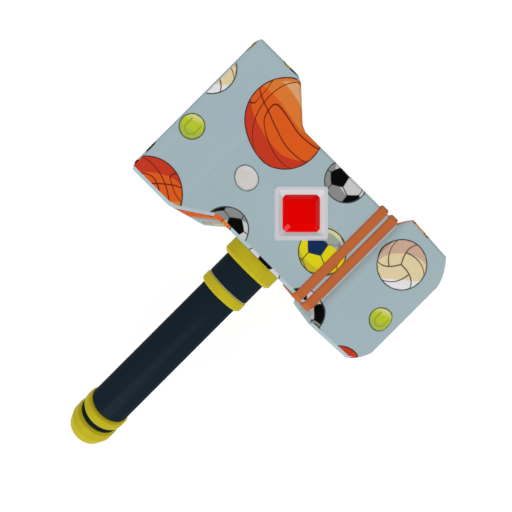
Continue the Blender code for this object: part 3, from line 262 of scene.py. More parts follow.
class Wire:
    """A node's output that can be used in sums."""

    def __init__(self, graph, socket):
        self.graph = graph
        self.socket = socket

    def __add__(self, other):
        return self.graph.math("ADD", self, other)

    def __sub__(self, other):
        return self.graph.math("SUBTRACT", self, other)

    def __rsub__(self, other):
        return self.graph.math("SUBTRACT", other, self)

    def __mul__(self, other):
        return self.graph.math("MULTIPLY", self, other)

    def __truediv__(self, other):
        return self.graph.math("DIVIDE", self, other)

    def __abs__(self):
        return self.graph.math("ABSOLUTE", self)

    def __gt__(self, other):
        return self.graph.math("GREATER_THAN", self, other)

    def __lt__(self, other):
        return self.graph.math("LESS_THAN", self, other)

    def min(self, other):
        return self.graph.math("MINIMUM", self, other)

    def max(self, other):
        return self.graph.math("MAXIMUM", self, other)

    def split(self):
        node = self.graph.node("ShaderNodeSeparateXYZ", {0: self})
        return [Wire(self.graph, out) for out in node.outputs]


class Graph:
    """Adds nodes to a tree and links them."""

    def __init__(self, tree):
        self.tree = tree

    def feed(self, made, values):
        """Links or sets a node's inputs, by their names or places."""
        for key, value in values.items():
            if isinstance(value, Wire):
                self.tree.links.new(value.socket, made.inputs[key])
            else:
                made.inputs[key].default_value = value

    def node(self, kind, values=None, **settings):
        made = self.tree.nodes.new(kind)
        for key, value in settings.items():
            setattr(made, key, value)
        self.feed(made, values or {})
        return made

    def group(self, tree, values):
        made = self.tree.nodes.new("ShaderNodeGroup")
        made.node_tree = tree
        self.feed(made, values)
        return [Wire(self, out) for out in made.outputs]

    def out(self, made, key=0):
        return Wire(self, made.outputs[key])

    def math(self, operation, first, second=0.0):
        values = {0: first, 1: second}
        return self.out(self.node("ShaderNodeMath", values, operation=operation))

    def vector(self, operation, first, second=(0, 0, 0), out=0):
        values = {0: first, 1: second}
        return self.out(self.node("ShaderNodeVectorMath", values, operation=operation), out)

    def scaled(self, vector, factor):
        values = {0: vector, "Scale": factor}
        return self.out(self.node("ShaderNodeVectorMath", values, operation="SCALE"))

    def dot(self, first, second):
        return self.vector("DOT_PRODUCT", first, second, "Value")

    def combine(self, x, y, z):
        return self.out(self.node("ShaderNodeCombineXYZ", {0: x, 1: y, 2: z}))

    def mix(self, factor, first, second):
        """A blend of two colours."""
        made = self.node("ShaderNodeMix", {0: factor, 6: first, 7: second}, data_type="RGBA")
        return self.out(made, 2)

    def choose(self, factor, first, second):
        """A blend of two numbers."""
        made = self.node("ShaderNodeMix", {0: factor, 2: first, 3: second}, data_type="FLOAT")
        return self.out(made, 0)

    def step(self, value, low, high):
        """Rises smoothly from 0 at low to 1 at high."""
        values = {"Value": value, "From Min": low, "From Max": high}
        return self.out(self.node("ShaderNodeMapRange", values, interpolation_type="SMOOTHSTEP"))

    def past(self, value, edge, soft):
        """0 short of an edge and 1 past it, with the given softness to either side."""
        return self.step(value, edge - soft, edge + soft)

    def noise(self, place, scale, detail=2.0, roughness=0.5):
        values = {"Vector": place, "Scale": scale, "Detail": detail, "Roughness": roughness}
        return self.out(self.node("ShaderNodeTexNoise", values), "Fac")


def new_group(name, inputs, outputs):
    """An empty node group, its graph and its inputs."""
    group = bpy.data.node_groups.new(name, "ShaderNodeTree")
    for direction, sockets in (("INPUT", inputs), ("OUTPUT", outputs)):
        for title, kind in sockets:
            group.interface.new_socket(title, in_out=direction, socket_type="NodeSocket" + kind)
    graph = Graph(group)
    entry = graph.node("NodeGroupInput")
    return group, graph, [graph.out(entry, i) for i in range(len(inputs))]


def ball_group(name):
    """A group for one kind of ball: a point on the ball in, its colour out."""
    inputs = (("Ball", "Vector"), ("Facing", "Vector"), ("Scale", "Float"))
    return new_group(name, inputs, (("Color", "Color"),))


def placing_group():
    """Turns a place on the skin into a point on one printed ball, seen as a half sphere."""
    inputs = (
        ("Place", "Vector"), ("Centre", "Vector"), ("Radius", "Float"), ("Shown", "Float"),
        ("Turn", "Vector"), ("Lit", "Float"),
    )
    outputs = (("Ball", "Vector"), ("Facing", "Vector"), ("Scale", "Float"), ("Inside", "Float"))
    group, graph, (place, centre, radius, shown, turn, lit) = new_group("placing", inputs, outputs)
    scale = graph.math("DIVIDE", 1.0, radius)
    flat = graph.scaled(graph.vector("SUBTRACT", place, centre), scale)
    square = graph.dot(flat, flat)
    inside = square < 1.0
    height = graph.math("SQRT", (1.0 - square).max(0.0))
    facing = graph.vector("ADD", flat, graph.combine(0.0, 0.0, height))
    drawn_height = graph.math("SQRT", (1.0 - square * shown * shown).max(0.0))
    drawn = graph.vector("ADD", graph.scaled(flat, shown), graph.combine(0.0, 0.0, drawn_height))
    values = {"Vector": drawn, "Rotation": turn}
    turned_ball = graph.node("ShaderNodeVectorRotate", values, rotation_type="EULER_XYZ")
    values = {"Vector": facing, "Angle": 0.0 - lit}
    turned_light = graph.node("ShaderNodeVectorRotate", values, rotation_type="Z_AXIS")
    values = {
        0: graph.scaled(graph.out(turned_ball), inside),
        1: graph.scaled(graph.out(turned_light), inside),
        2: scale * inside,
        3: inside,
    }
    graph.node("NodeGroupOutput", values)
    return group


def ball_turn(kind, pole, runs):
    """The turn from what is seen of a ball to its own axes."""
    along, way = (Vector(vector).normalized() for vector in POLES[kind][:2])
    flat = Vector(pole) * POLES[kind][2]
    seen = Vector((flat.x, flat.y, math.sqrt(1 - flat.length_squared)))
    angle = math.radians(runs)
    runs_seen = Vector((math.cos(angle), math.sin(angle), 0.0))

    def axes(main, other):
        first = (other - main * other.dot(main)).normalized()
        return Matrix((first, main.cross(first), main)).transposed()

    turn = axes(along, way) @ axes(seen, runs_seen).transposed()
    return tuple(turn.to_euler("XYZ"))


def line(graph, distance, scale, width=LINE_MM):
    """1 on a printed line, 0 away from it, from the distance to it on a ball of radius 1."""
    half = scale * width
    starts, gone = LINE_FADES
    return 1.0 - graph.step(distance, half * starts, half * gone)


def from_middle(graph, facing):
    """How far a point lies from the middle of the printed ball, in radii."""
    flat = graph.vector("MULTIPLY", facing, (1, 1, 0))
    return graph.vector("LENGTH", flat, out="Value")


def toned(graph, facing, dark_at, dark, middle, bright_at, bright):
    """Three flat tones: the side turned from the painted light, the middle, and the lit cap."""
    fall = graph.dot(facing, PAINTED_LIGHT)
    color = graph.mix(graph.past(fall, dark_at, SHADE_SOFT), dark, middle)
    sunward = facing.split()[0]
    return graph.mix(graph.past(sunward, bright_at, CAP_SOFT), color, bright)


def glint(graph, facing, starts, ends, strength):
    """How strong the gleam is: a band of the lit cap, short of the ball's rim."""
    lit = graph.past(facing.split()[0], starts, GLINT_SOFT)
    rim = graph.past(from_middle(graph, facing), ends, GLINT_SOFT)
    return lit * (1.0 - rim) * strength


def power(graph, value, scale, exponent):
    return graph.math("POWER", value / scale, exponent)


def basketball_group():
    """Two lines that cross at the pole, and a long loop to either side of one of them."""
    group, graph, (ball, facing, scale) = ball_group("basketball")
    x, y = ball.split()[:2]
    skew, skew_spacing, loop_spacing = 0.38, 0.93, 1.1
    reach, tip, rise, narrow = 0.60, 0.24, 4.0, 0.42
    skewed = abs(y * skew + x)
    loop = abs(skewed - (power(graph, abs(y), narrow, rise) * reach + tip))
    slope = power(graph, abs(y), narrow, rise - 1) * (reach * rise / narrow)
    loop = loop / graph.math("SQRT", slope * slope + loop_spacing)
    distance = (skewed * skew_spacing).min(abs(y)).min(loop)
    color = toned(
        graph, facing,
        dark_at=0.0, dark=rgb(192, 56, 33), middle=rgb(214, 89, 28),
        bright_at=0.24, bright=rgb(213, 118, 48),
    )
    shine = glint(graph, facing, starts=0.60, ends=0.90, strength=0.85)
    color = graph.mix(shine, color, rgb(213, 163, 118))
    color = graph.mix(line(graph, distance, scale, width=0.50), color, rgb(108, 36, 24))
    graph.node("NodeGroupOutput", {0: color})
    return group


def best_two(scores):
    """The largest and the second largest of several values."""
    best = scores[0].max(scores[1])
    second = scores[0].min(scores[1])
    for score in scores[2:]:
        second = second.max(best.min(score))
        best = best.max(score)
    return best, second


def stitched_group(name, tones, shine, spot, stitch, few=False):
    """A ball of six-sided patches round five-sided spots.

    With few, only the spots near the pole or on the lit side have their colour.
    """
    group, graph, (ball, facing, scale) = ball_group(name)
    folded = graph.vector("ABSOLUTE", ball)
    spots = [(0, 1, PHI), (1, PHI, 0), (PHI, 0, 1)]
    patches = [(1, 1, 1)]
    for a in (1 / PHI, -1 / PHI):
        patches += [(a, 0, PHI), (0, PHI, a), (PHI, a, 0)]
    spot_grows, stitch_width = 0.006, 0.45
    near_pole, lit_side = 0.8, 0.2
    rim_from, rim_to = 0.78, 0.84

    def score(way, reach):
        return graph.dot(folded, Vector(way).normalized() / reach)

    def stitched(color, distance):
        return graph.mix(line(graph, distance, scale, stitch_width), color, stitch)

    spot_score = score(spots[0], SPOT_REACH)
    for way in spots[1:]:
        spot_score = spot_score.max(score(way, SPOT_REACH))
    best, second = best_two([score(way, PATCH_REACH) for way in patches])
    color = toned(graph, facing, **tones)
    color = stitched(color, (best - second) / SEAM_SLOPE)
    edge = spot_score - best + spot_grows
    color = stitched(color, abs(edge) / SPOT_SLOPE)
    filled = edge > 0.0
    if few:
        at_pole = graph.dot(ball, Vector(spots[0]).normalized()) > near_pole
        filled = filled * at_pole.max(facing.split()[0] > lit_side)
    color = graph.mix(filled, color, spot)
    at_rim = graph.step(from_middle(graph, facing), rim_from, rim_to)
    slate, cream = rgb(126, 144, 162), rgb(200, 200, 184)
    gleam = graph.mix(at_rim, slate, cream)
    color = graph.mix(glint(graph, facing, *shine), color, gleam)
    graph.node("NodeGroupOutput", {0: color})
    return group


def volleyball_group():
    """Three strips to each face of a cube, twisted a little round the pole."""
    group, graph, (ball, facing, scale) = ball_group("volleyball")
    pole = Vector((1, 1, 1)).normalized()
    twist, strip_edge, strip_bow = 1.25, 0.24, 0.10
    strip_spacing, face_spacing = 0.9, 0.7
    away = 1.0 - graph.dot(ball, pole)
    values = {"Vector": ball, "Axis": tuple(pole), "Angle": away * twist}
    ball = graph.out(graph.node("ShaderNodeVectorRotate", values, rotation_type="AXIS_ANGLE"))
    x, y, z = ball.split()
    ax, ay, az = abs(x), abs(y), abs(z)
    best, second = best_two([ax, ay, az])
    on_x = (ax > ay) * (ax > az)
    on_y = (1.0 - on_x) * (ay > az)
    across = graph.choose(on_x, graph.choose(on_y, y, x), z)
    along = graph.choose(on_x, graph.choose(on_y, x, z), y)
    bow = along * along * strip_bow / best
    strips = abs(abs(across) - (best * strip_edge + bow)) * strip_spacing
    distance = strips.min((best - second) * face_spacing)
    color = toned(
        graph, facing,
        dark_at=0.13, dark=rgb(196, 163, 141), middle=rgb(218, 200, 158),
        bright_at=0.585, bright=rgb(221, 220, 222),
    )
    color = graph.mix(line(graph, distance, scale, width=0.52), color, rgb(98, 84, 72))
    graph.node("NodeGroupOutput", {0: color})
    return group


def tennis_group():
    """One seam in the shape of a U, open and fading towards the top."""
    group, graph, (ball, facing, scale) = ball_group("tennis")
    x, y = ball.split()[:2]
    bend, arm = 0.13, 0.46
    fades_from, fades_to = 0.35, 0.6
    below = (y + bend).min(0.0)
    seam = abs(graph.math("SQRT", x * x + below * below) - arm)
    color = toned(
        graph, facing,
        dark_at=0.30, dark=rgb(162, 182, 66), middle=rgb(177, 193, 44),
        bright_at=0.42, bright=rgb(193, 201, 92),
    )
    shine = glint(graph, facing, starts=0.66, ends=0.86, strength=0.7)
    color = graph.mix(shine, color, rgb(208, 208, 152))
    shown = 1.0 - graph.step(y, fades_from, fades_to)
    color = graph.mix(line(graph, seam, scale, width=0.55) * shown, color, rgb(148, 160, 48))
    graph.node("NodeGroupOutput", {0: color})
    return group


def golf_group():
    """A pale ball with faint pits."""
    group, graph, (ball, facing, scale) = ball_group("golf")
    pits_across, pit_floor, pit_rim, pit_strength = 7.5, 0.16, 0.34, 0.25
    color = toned(
        graph, facing,
        dark_at=-0.30, dark=rgb(188, 184, 182), middle=rgb(203, 199, 195),
        bright_at=0.55, bright=rgb(206, 205, 207),
    )
    values = {"Vector": ball, "Scale": pits_across}
    pits = graph.node("ShaderNodeTexVoronoi", values, feature="F1")
    pit = 1.0 - graph.step(graph.out(pits, "Distance"), pit_floor, pit_rim)
    color = graph.mix(pit * pit_strength, color, rgb(180, 178, 180))
    graph.node("NodeGroupOutput", {0: color})
    return group


def ball_kinds():
    """For each kind of ball: its node group and the colour of its outline."""
    soccer_tones = {
        "dark_at": 0.20, "dark": rgb(133, 134, 134), "middle": rgb(196, 195, 196),
        "bright_at": 0.97, "bright": rgb(220, 220, 220),
    }
    play_tones = {
        "dark_at": -0.18, "dark": rgb(190, 178, 38), "middle": rgb(214, 204, 24),
        "bright_at": 0.97, "bright": rgb(214, 204, 24),
    }
    no_shine, play_shine = (0.97, 0.99, 0.0), (0.40, 0.93, 0.78)
    black, navy = rgb(7, 9, 8), rgb(20, 42, 84)
    soccer = stitched_group("soccer", soccer_tones, no_shine, black, rgb(70, 70, 68))
    playball = stitched_group(
        "playball", play_tones, play_shine, navy, rgb(96, 92, 36), few=True
    )
    return {
        "basketball": (basketball_group(), rgb(88, 46, 36)),
        "soccer": (soccer, rgb(62, 66, 66)),
        "playball": (playball, rgb(66, 66, 42)),
        "volleyball": (volleyball_group(), rgb(74, 74, 70)),
        "tennis": (tennis_group(), rgb(86, 94, 66)),
        "golf": (golf_group(), rgb(108, 112, 113)),
    }


def hammer_place(graph):
    """The point being shaded, in the hammer's own frame in millimetres, and its direction."""
    entry = graph.node("ShaderNodeTexCoord")
    centred = graph.vector("SUBTRACT", graph.out(entry, "Object"), tuple(CROSSING))
    return graph.scaled(centred, 1 / MM), graph.out(entry, "Normal")


def skin_place(graph, place, normal):
    """The print coordinates of a point on the head, and whether it is on a long edge's chamfer.

    The coordinates are two lengths in mm, the first with its region's step added.
    """
    x, y, z = place.split()
    ny, nz = normal.split()[1:]
    leans = 0.45
    chamfer = (abs(ny) > leans) * (abs(nz) > leans)
    upper = y > 0.0
    blocks = ((x < BLOCK_TO_RAMP) + (x > NECK_TO_BLOCK)).min(1.0)
    wraps_up = chamfer * upper * blocks
    wraps_down = chamfer * (1.0 - upper) * (x > RAMP_TO_NECK) * (x < BEVELS_START)
    bare = chamfer * (1.0 - upper) * (x < RAMP_TO_NECK)
    faces_out = (abs(z) > abs(y)).max(chamfer) * (1.0 - wraps_up) * (1.0 - wraps_down)
    at_end = (x < END_SKIN).max(x > SMALL_END)
    side = graph.choose(upper, BOTTOM, TOP)
    face = graph.choose(z > 0.0, BACK, FRONT)
    region = graph.choose(faces_out, side, face)
    region = graph.choose(at_end, region, graph.choose(x > 0.0, LEFT, RIGHT))
    region = graph.choose(bare * (1.0 - at_end), region, PLAIN)
    first = graph.choose(at_end, x, y)
    second = graph.choose(faces_out * (1.0 - at_end), z, y)
    return graph.combine(first + region, second, 0.0), chamfer


def sum_of_balls(graph, kind, regions, skin, placing):
    """What the printed balls of one kind give at this place, or nothing where there are none."""
    total = None
    for print_kind, region, across, up, radius, pole, runs, lit in PRINTS:
        if print_kind != kind or region not in regions:
            continue
        values = {
            "Place": skin,
            "Centre": (across + REGIONS[region], up, 0.0),
            "Radius": radius,
            "Shown": POLES[kind][2],
            "Turn": ball_turn(kind, pole, runs),
            "Lit": math.radians(lit),
        }
        ball, facing, scale, inside = graph.group(placing, values)
        if total is None:
            total = [ball, facing, scale, inside]
        else:
            total = [
                graph.vector("ADD", total[0], ball),
                graph.vector("ADD", total[1], facing),
                total[2] + scale,
                total[3] + inside,
            ]
    return total


def new_material(name):
    """A material, its graph and its shader."""
    made = bpy.data.materials.new(name)
    made.use_nodes = True
    return made, Graph(made.node_tree), made.node_tree.nodes["Principled BSDF"]


def bumped(graph, shader, height, strength, distance_mm):
    values = {"Strength": strength, "Distance": distance_mm * MM, "Height": height}
    graph.feed(shader, {"Normal": graph.out(graph.node("ShaderNodeBump", values))})


def bare_skin(graph, place, edges):
    """The skin's colour without its prints: paler at the flare, painted light that offsets the
    shade there, and paler on the long edges' chamfers, partly wear and partly a painted highlight.
    """
    drift, wear_and_light = graph.noise(place, *SKIN_DRIFT), graph.noise(place, *SKIN_WEAR_AND_LIGHT)
    color = graph.mix(drift, rgb(*SKIN_DARK), rgb(*SKIN_LIGHT))
    x = place.split()[0]
    flare = (x > FLARE_START) * (x < FLARE_END)
    # Painted light: the flare is made paler, offsetting the shade there
    color = graph.mix(flare * FLARE_PAINTED_LIGHT_STRENGTH, color, rgb(*SKIN_FLARE_PAINTED_LIGHT))
    # The long edges' chamfers made paler: partly wear, partly a painted highlight
    return graph.mix(edges * (wear_and_light * WORN_AND_LIT_MORE + WORN_AND_LIT_LEAST), color, rgb(*SKIN_WORN_AND_LIT))


def printed_skin(name, regions, kinds, placing):
    """The head's satin skin with the prints that lie on some of its faces."""
    made, graph, shader = new_material(name)
    place, normal = hammer_place(graph)
    skin, edges = skin_place(graph, place, normal)
    grain = graph.noise(place, *SKIN_GRAIN)
    color = bare_skin(graph, place, edges)
    printed = None
    for kind, (group, outline) in kinds.items():
        total = sum_of_balls(graph, kind, regions, skin, placing)
        if total is None:
            continue
        ball, facing, scale, inside = total
        drawn_scale = scale * POLES[kind][2]
        ball_color = graph.group(group, {0: ball, 1: facing, 2: drawn_scale})[0]
        rim = 1.0 - from_middle(graph, facing)
        wobble = graph.noise(place, *OUTLINE_WOBBLE) * OUTLINE_MORE + OUTLINE_LEAST
        edge = scale * wobble * OUTLINE_MM
        starts, gone = OUTLINE_FADES
        ball_color = graph.mix(
            graph.step(rim, edge * starts, edge * gone), outline, ball_color
        )
        color = graph.mix(inside, color, ball_color)
        printed = inside if printed is None else printed.max(inside)
    speckled = graph.scaled(color, printed * (grain - 0.5) * SPECKLE + 1.0)
    smooth = graph.choose(printed, BARE_ROUGHNESS, PRINT_ROUGHNESS)
    graph.feed(shader, {"Base Color": speckled, "Roughness": smooth + grain * GRAIN_ROUGHNESS})
    bumped(graph, shader, grain, SKIN_BUMP, SKIN_BUMP_MM)
    shader.inputs["Specular IOR Level"].default_value = SKIN_SPECULAR
    return made


def moulded(
    name, color, rough=0.4, specular=0.2, drift=0.03, grain_size=0.45, grain=0.1, metallic=0.0
):
    """Plastic, rubber or metal with slow colour drift, uneven gloss and a fine grain."""
    made, graph, shader = new_material(name)
    place = hammer_place(graph)[0]
    base = rgb(*color)
    dim = tuple(value * (1 - drift) for value in base[:3]) + (1.0,)
    lit = tuple(min(1.0, value * (1 + drift)) for value in base[:3]) + (1.0,)
    drifted = graph.mix(graph.noise(place, *PLASTIC_DRIFT), dim, lit)
    fine = graph.noise(place, 1 / grain_size, *GRAIN_DETAIL)
    smear = graph.noise(place, *PLASTIC_SMEAR)
    fine_share, smear_share, middle = 0.06, 0.08, 0.07
    roughness = fine * fine_share + smear * smear_share + (rough - middle)
    graph.feed(shader, {"Base Color": drifted, "Roughness": roughness})
    bumped(graph, shader, fine, grain, PLASTIC_BUMP_MM)
    shader.inputs["Specular IOR Level"].default_value = specular
    shader.inputs["Metallic"].default_value = metallic
    return made


def slopes(graph):
    """How far a face leans to the right and up in the photo's view, and whether it is tilted.

    Right is towards the small block's upper corner, and up is towards the large block's.
    """
    entry = graph.node("ShaderNodeTexCoord")
    x, y, z = graph.out(entry, "Normal").split()
    half = math.sqrt(0.5)
    tilted_below, level_above = 0.90, 0.985
    return (x + y) * half, (y - x) * half, 1.0 - graph.step(z, tilted_below, level_above)


def recolored(material, change):
    """Passes a material's colour through change(graph, colour)."""
    graph = Graph(material.node_tree)
    shader = material.node_tree.nodes["Principled BSDF"]
    color = Wire(graph, shader.inputs["Base Color"].links[0].from_socket)
    graph.feed(shader, {"Base Color": change(graph, color)})
    return material


def gem_plastic():
    """Red plastic with painted light: a pale painted reflection on the bevels that face right or
    up, and a painted highlight at one corner.
    """
    square_on, reflection_strength, highlight_strength = 0.15, 0.9, 0.8
    leans, highlight_leans = (0.05, 0.25), (0.15, 0.3)

    def painted_bevel_light(graph, color):
        right, up, tilted = slopes(graph)
        # Painted reflection: the bevels that face right or up are made paler
        painted_reflection = graph.step(right.max(up), *leans) * (abs(right).min(abs(up)) < square_on)
        color = graph.mix(tilted * painted_reflection * reflection_strength, color, rgb(216, 38, 37))
        # Painted highlight on the bevel at one corner
        corner = graph.step(0.0 - right, *highlight_leans) * graph.step(0.0 - up, *highlight_leans)
        return graph.mix(tilted * corner * highlight_strength, color, rgb(230, 72, 72))

    red = moulded(
        "gem_plastic", (221, 1, 1), rough=0.2, specular=0.02, drift=0.02, grain=0.02
    )
    return recolored(red, painted_bevel_light)


def bezel_plastic():
    """Silver plastic with painted light on the slopes round the gem: paler and cooler there, to
    offset the red light that the gem throws on them.
    """
    def painted_slope_light(graph, color):
        x, y = hammer_place(graph)[0].split()[:2]
        tilted = slopes(graph)[2]
        # Painted light: the slopes round the gem are made paler and cooler
        return graph.mix(tilted * (abs(x) + abs(y) < BEZEL_REACH), color, rgb(202, 208, 211))

    silver = moulded("bezel_plastic", (198, 198, 203), rough=0.35, specular=0.15, grain=0.05)
    return recolored(silver, painted_slope_light)


def painted_edge_highlight(material, down):
    """The same plastic with a painted highlight: a pale line along the edge a distance down the
    handle.
    """
    strength, full_width, gone = 0.8, 0.2, 0.45

    def highlight_line_there(graph, color):
        y = hammer_place(graph)[0].split()[1]
        near = 1.0 - graph.step(abs(y + down), full_width, gone)
        # Painted highlight: a pale line along the ring's edge
        return graph.mix(near * strength, color, rgb(204, 202, 176))

    return recolored(material, highlight_line_there)


def painted_sheen_front(material):
    """The same rubber with a painted sheen: a paler streak down its front, wider and paler towards
    the pommel.
    """
    widens, full_width, gone = 1.5, 0.8, 4.0
    least, more = 0.55, 0.45

    def sheen_there(graph, color):
        x, y, z = hammer_place(graph)[0].split()
        down = 0.0 - y
        along = graph.step(down, SHEEN_FULL, SHEEN_WIDEST)
        off = abs(x - SHEEN_ASIDE) - along * widens
        across = 1.0 - graph.step(off, full_width, gone)
        sheen = across * (z > 0.0) * graph.step(down, SHEEN_STARTS, SHEEN_FULL)
        # Painted sheen: a paler streak down the grip's front
        return graph.mix(sheen * (along * more + least), color, rgb(31, 41, 49))

    return recolored(material, sheen_there)


def dress(material, *names):
    for name in names:
        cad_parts[name].material_slots[0].material = material


def numbered(start):
    return [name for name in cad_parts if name.startswith(start)]


def finish_mesh(bm, name, material, sharp=35):
    """A named object from built geometry, smooth but for its sharp edges."""
    bmesh.ops.recalc_face_normals(bm, faces=bm.faces)
    mesh = bpy.data.meshes.new(name)
    bm.to_mesh(mesh)
    bm.free()
    for face in mesh.polygons:
        face.use_smooth = True
    mesh.set_sharp_from_angle(angle=math.radians(sharp))
    mesh.materials.append(material)
    made = bpy.data.objects.new(name, mesh)
    bpy.context.scene.collection.objects.link(made)
    return made


def bridge(bm, first, second):
    """Faces between two closed rings of as many vertices."""
    for i in range(len(first)):
        j = (i + 1) % len(first)
        bm.faces.new((first[i], first[j], second[j], second[i]))


def eased(corners):
    """A closed outline of (radius, down, easing) corners with each eased corner made an arc."""
    outline = []
    for i, (radius, down, ease) in enumerate(corners):
        here = Vector((radius, down))
        if not ease:
            outline.append(here)
            continue
        before = Vector(corners[i - 1][:2]) - here
        after = Vector(corners[(i + 1) % len(corners)][:2]) - here
        first, last = here + before.normalized() * ease, here + after.normalized() * ease
        for step in range(EASE_STEPS + 1):
            t = step / EASE_STEPS
            outline.append(first * (1 - t) ** 2 + here * 2 * t * (1 - t) + last * t * t)
    return outline


def turned_ring(node, corners, material):
    """A ring about the handle's axis, which stands for a node.

    Its corners are (radius, distance down the handle, easing).
    """
    outline = eased(corners)
    bm = bmesh.new()
    rings = []
    for side in range(RING_SIDES):
        angle = 2 * math.pi * side / RING_SIDES
        spots = [
            CROSSING + Vector((radius * math.cos(angle), -down, radius * math.sin(angle))) * MM
            for radius, down in outline
        ]
        rings.append([bm.verts.new(spot) for spot in spots])
    for side in range(RING_SIDES):
        bridge(bm, rings[side], rings[(side + 1) % RING_SIDES])
    made = finish_mesh(bm, node + "_turned", material)
    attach(made, "hammer")
    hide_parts(node)


def sleeve(node, material, ease):
    """A plain sleeve with eased ends."""
    radius, top, bottom = TURNED[node]
    corners = [
        (BORE, top, 0), (radius, top, ease), (radius, bottom, ease), (BORE, bottom, 0)
    ]
    turned_ring(node, corners, material)


def bevelled_ring(node, bevel, material, both=True):
    """A yellow ring with a bevel at its lower edge, or at both."""
    radius, top, bottom = TURNED[node]
    upper = [(radius, top, SQUARE_EDGE_EASE)]
    if both:
        upper = [(radius - bevel, top, BEVEL_RIM_EASE), (radius, top + bevel, BEVEL_SIDE_EASE)]
    lower = [
        (radius, bottom - bevel, BEVEL_SIDE_EASE), (radius - bevel, bottom, BEVEL_RIM_EASE)
    ]
    corners = [(BORE, top, 0), *upper, *lower, (BORE, bottom, 0)]
    turned_ring(node, corners, material)


def swept(name, points, radius, material):
    """A round wire along a route of points."""
    bm = bmesh.new()
    rings = []
    for i, point in enumerate(points):
        ahead = points[min(i + 1, len(points) - 1)] - points[max(i - 1, 0)]
        turn = ahead.to_track_quat("Z", "X")
        ring = []
        for side in range(WIRE_SIDES):
            angle = 2 * math.pi * side / WIRE_SIDES
            offset = turn @ Vector((math.cos(angle), math.sin(angle), 0)) * radius
            ring.append(bm.verts.new(point + offset))
        rings.append(ring)
    for here, there in zip(rings, rings[1:]):
        bridge(bm, here, there)
    bm.faces.new(rings[0])
    bm.faces.new(rings[-1][::-1])
    return finish_mesh(bm, name, material)


def spring_route(centre, axis, side, low, high, radius, wire):
    """Points of a coil between low and high along an axis, with its end turns wound flat."""
    across = axis.cross(side)
    steps = STEPS_PER_TURN * SPRING_TURNS
    points = []
    for step in range(steps + 1):
        wound = SPRING_TURNS * step / steps
        rise = min(1.0, max(0.0, (wound - FLAT_TURNS) / (SPRING_TURNS - 2 * FLAT_TURNS)))
        height = low + wire + (high - low - 2 * wire) * rise
        angle = 2 * math.pi * wound
        out = side * math.cos(angle) + across * math.sin(angle)
        points.append(centre + axis * height + out * radius)
    return points


def springs(steel):
    """Wire coils for the button's spring and the tail spring, wound between the ends of the nodes
    they stand in for.
    """
    side = Vector((1, 0, 0))
    up = Vector((0, 0, 1))
    low, high = (corner.z for corner in map(Vector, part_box("button_spring")))
    centre = Vector((CROSSING.x, CROSSING.y, 0))
    radius, wire = (size * MM for size in BUTTON_SPRING)
    points = spring_route(centre, up, side, low, high, radius, wire)
    made = swept("button_spring_coil", points, wire, steel)
    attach(made, "hammer")
    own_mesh(made)
    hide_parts("button_spring")

    along = Vector((0, 1, 0))
    low, high = (corner.y for corner in map(Vector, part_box("tail_spring")))
    centre = Vector((CROSSING.x, 0, CROSSING.z))
    radius, wire = (size * MM for size in TAIL_SPRING)
    points = spring_route(centre, along, side, low, high, radius, wire)
    made = swept("tail_spring_coil", points, wire, steel)
    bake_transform(made)
    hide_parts("tail_spring")


def cross_recess_screw(node, material):
    """A closing screw with a cross in its head, which faces down at the back of the head."""
    low, high = map(Vector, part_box(node))
    centre = (low + high) / 2
    bm = bmesh.new()
    head, shank, thick = SCREW_HEAD * MM, SCREW_SHANK * MM, SCREW_HEAD_HEIGHT * MM
    arm, half = CROSS_ARM * MM, CROSS_HALF_WIDTH * MM
    cross = [
        (half, half), (half, arm), (-half, arm), (-half, half), (-arm, half), (-arm, -half),
        (-half, -half), (-half, -arm), (half, -arm), (half, -half), (arm, -half), (arm, half),
    ]
    turns = [2 * math.pi * i / SCREW_SIDES for i in range(SCREW_SIDES)]

    def ring(radius, z, shape=None):
        spots = shape or [(radius * math.cos(turn), radius * math.sin(turn)) for turn in turns]
        return [bm.verts.new((centre.x + x, centre.y + y, z)) for x, y in spots]

    mouth = ring(0, low.z, cross)
    floor = ring(0, low.z + CROSS_DEPTH * MM, cross)
    rings = [ring(head - inwards * MM, low.z + up * MM) for inwards, up in SCREW_ROUNDING]
    rings += [
        ring(head, low.z + thick),
        ring(shank, low.z + thick),
        ring(shank, high.z - SCREW_TIP * MM),
        ring(shank * SCREW_TIP_SHARE, high.z),
    ]
    for first, second in zip(rings, rings[1:]):
        bridge(bm, first, second)
    bridge(bm, mouth, floor)
    bm.faces.new(floor)
    bm.faces.new(rings[-1])
    edges = []
    for loop in (mouth, rings[0]):
        for i in range(len(loop)):
            edges.append(bm.edges.get((loop[i], loop[(i + 1) % len(loop)])))
    bmesh.ops.triangle_fill(bm, use_beauty=True, use_dissolve=False, edges=edges)
    made = finish_mesh(bm, node + "_cross", material, sharp=30)
    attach(made, "hammer")
    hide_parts(node)


def handle_pieces():
    yellow = moulded("yellow_plastic", YELLOW, rough=0.40, specular=0.03)
    highlit_yellow = moulded("yellow_plastic_painted_highlight", YELLOW, rough=0.40, specular=0.03)
    navy = moulded("navy_plastic", (21, 34, 43), rough=0.6, specular=0.02)
    rubber = moulded(
        "grip_rubber", (21, 35, 45), rough=0.72, specular=0.02, grain_size=0.6, grain=0.3
    )
    seal = moulded("seal_rubber", (16, 27, 35), rough=0.6, specular=0.02)
    dress(yellow, "pommel_cap")
    bevelled_ring("collar", COLLAR_BEVEL, yellow, both=False)
    sleeve("upper_sleeve", navy, ease=0.3)
    # The middle ring carries a painted highlight line along its upper edge
    bevelled_ring("middle_ring", RING_BEVEL, painted_edge_highlight(highlit_yellow, EDGE_HIGHLIGHT_DOWN))
    # The grip carries a painted sheen down its front
    sleeve("grip_sleeve", painted_sheen_front(rubber), ease=0.6)
    bevelled_ring("lower_ring", RING_BEVEL, yellow)
    sleeve("pommel_seal", seal, ease=0.4)
    dress(moulded("core_plastic", (32, 34, 37), rough=0.45), "handle_core")


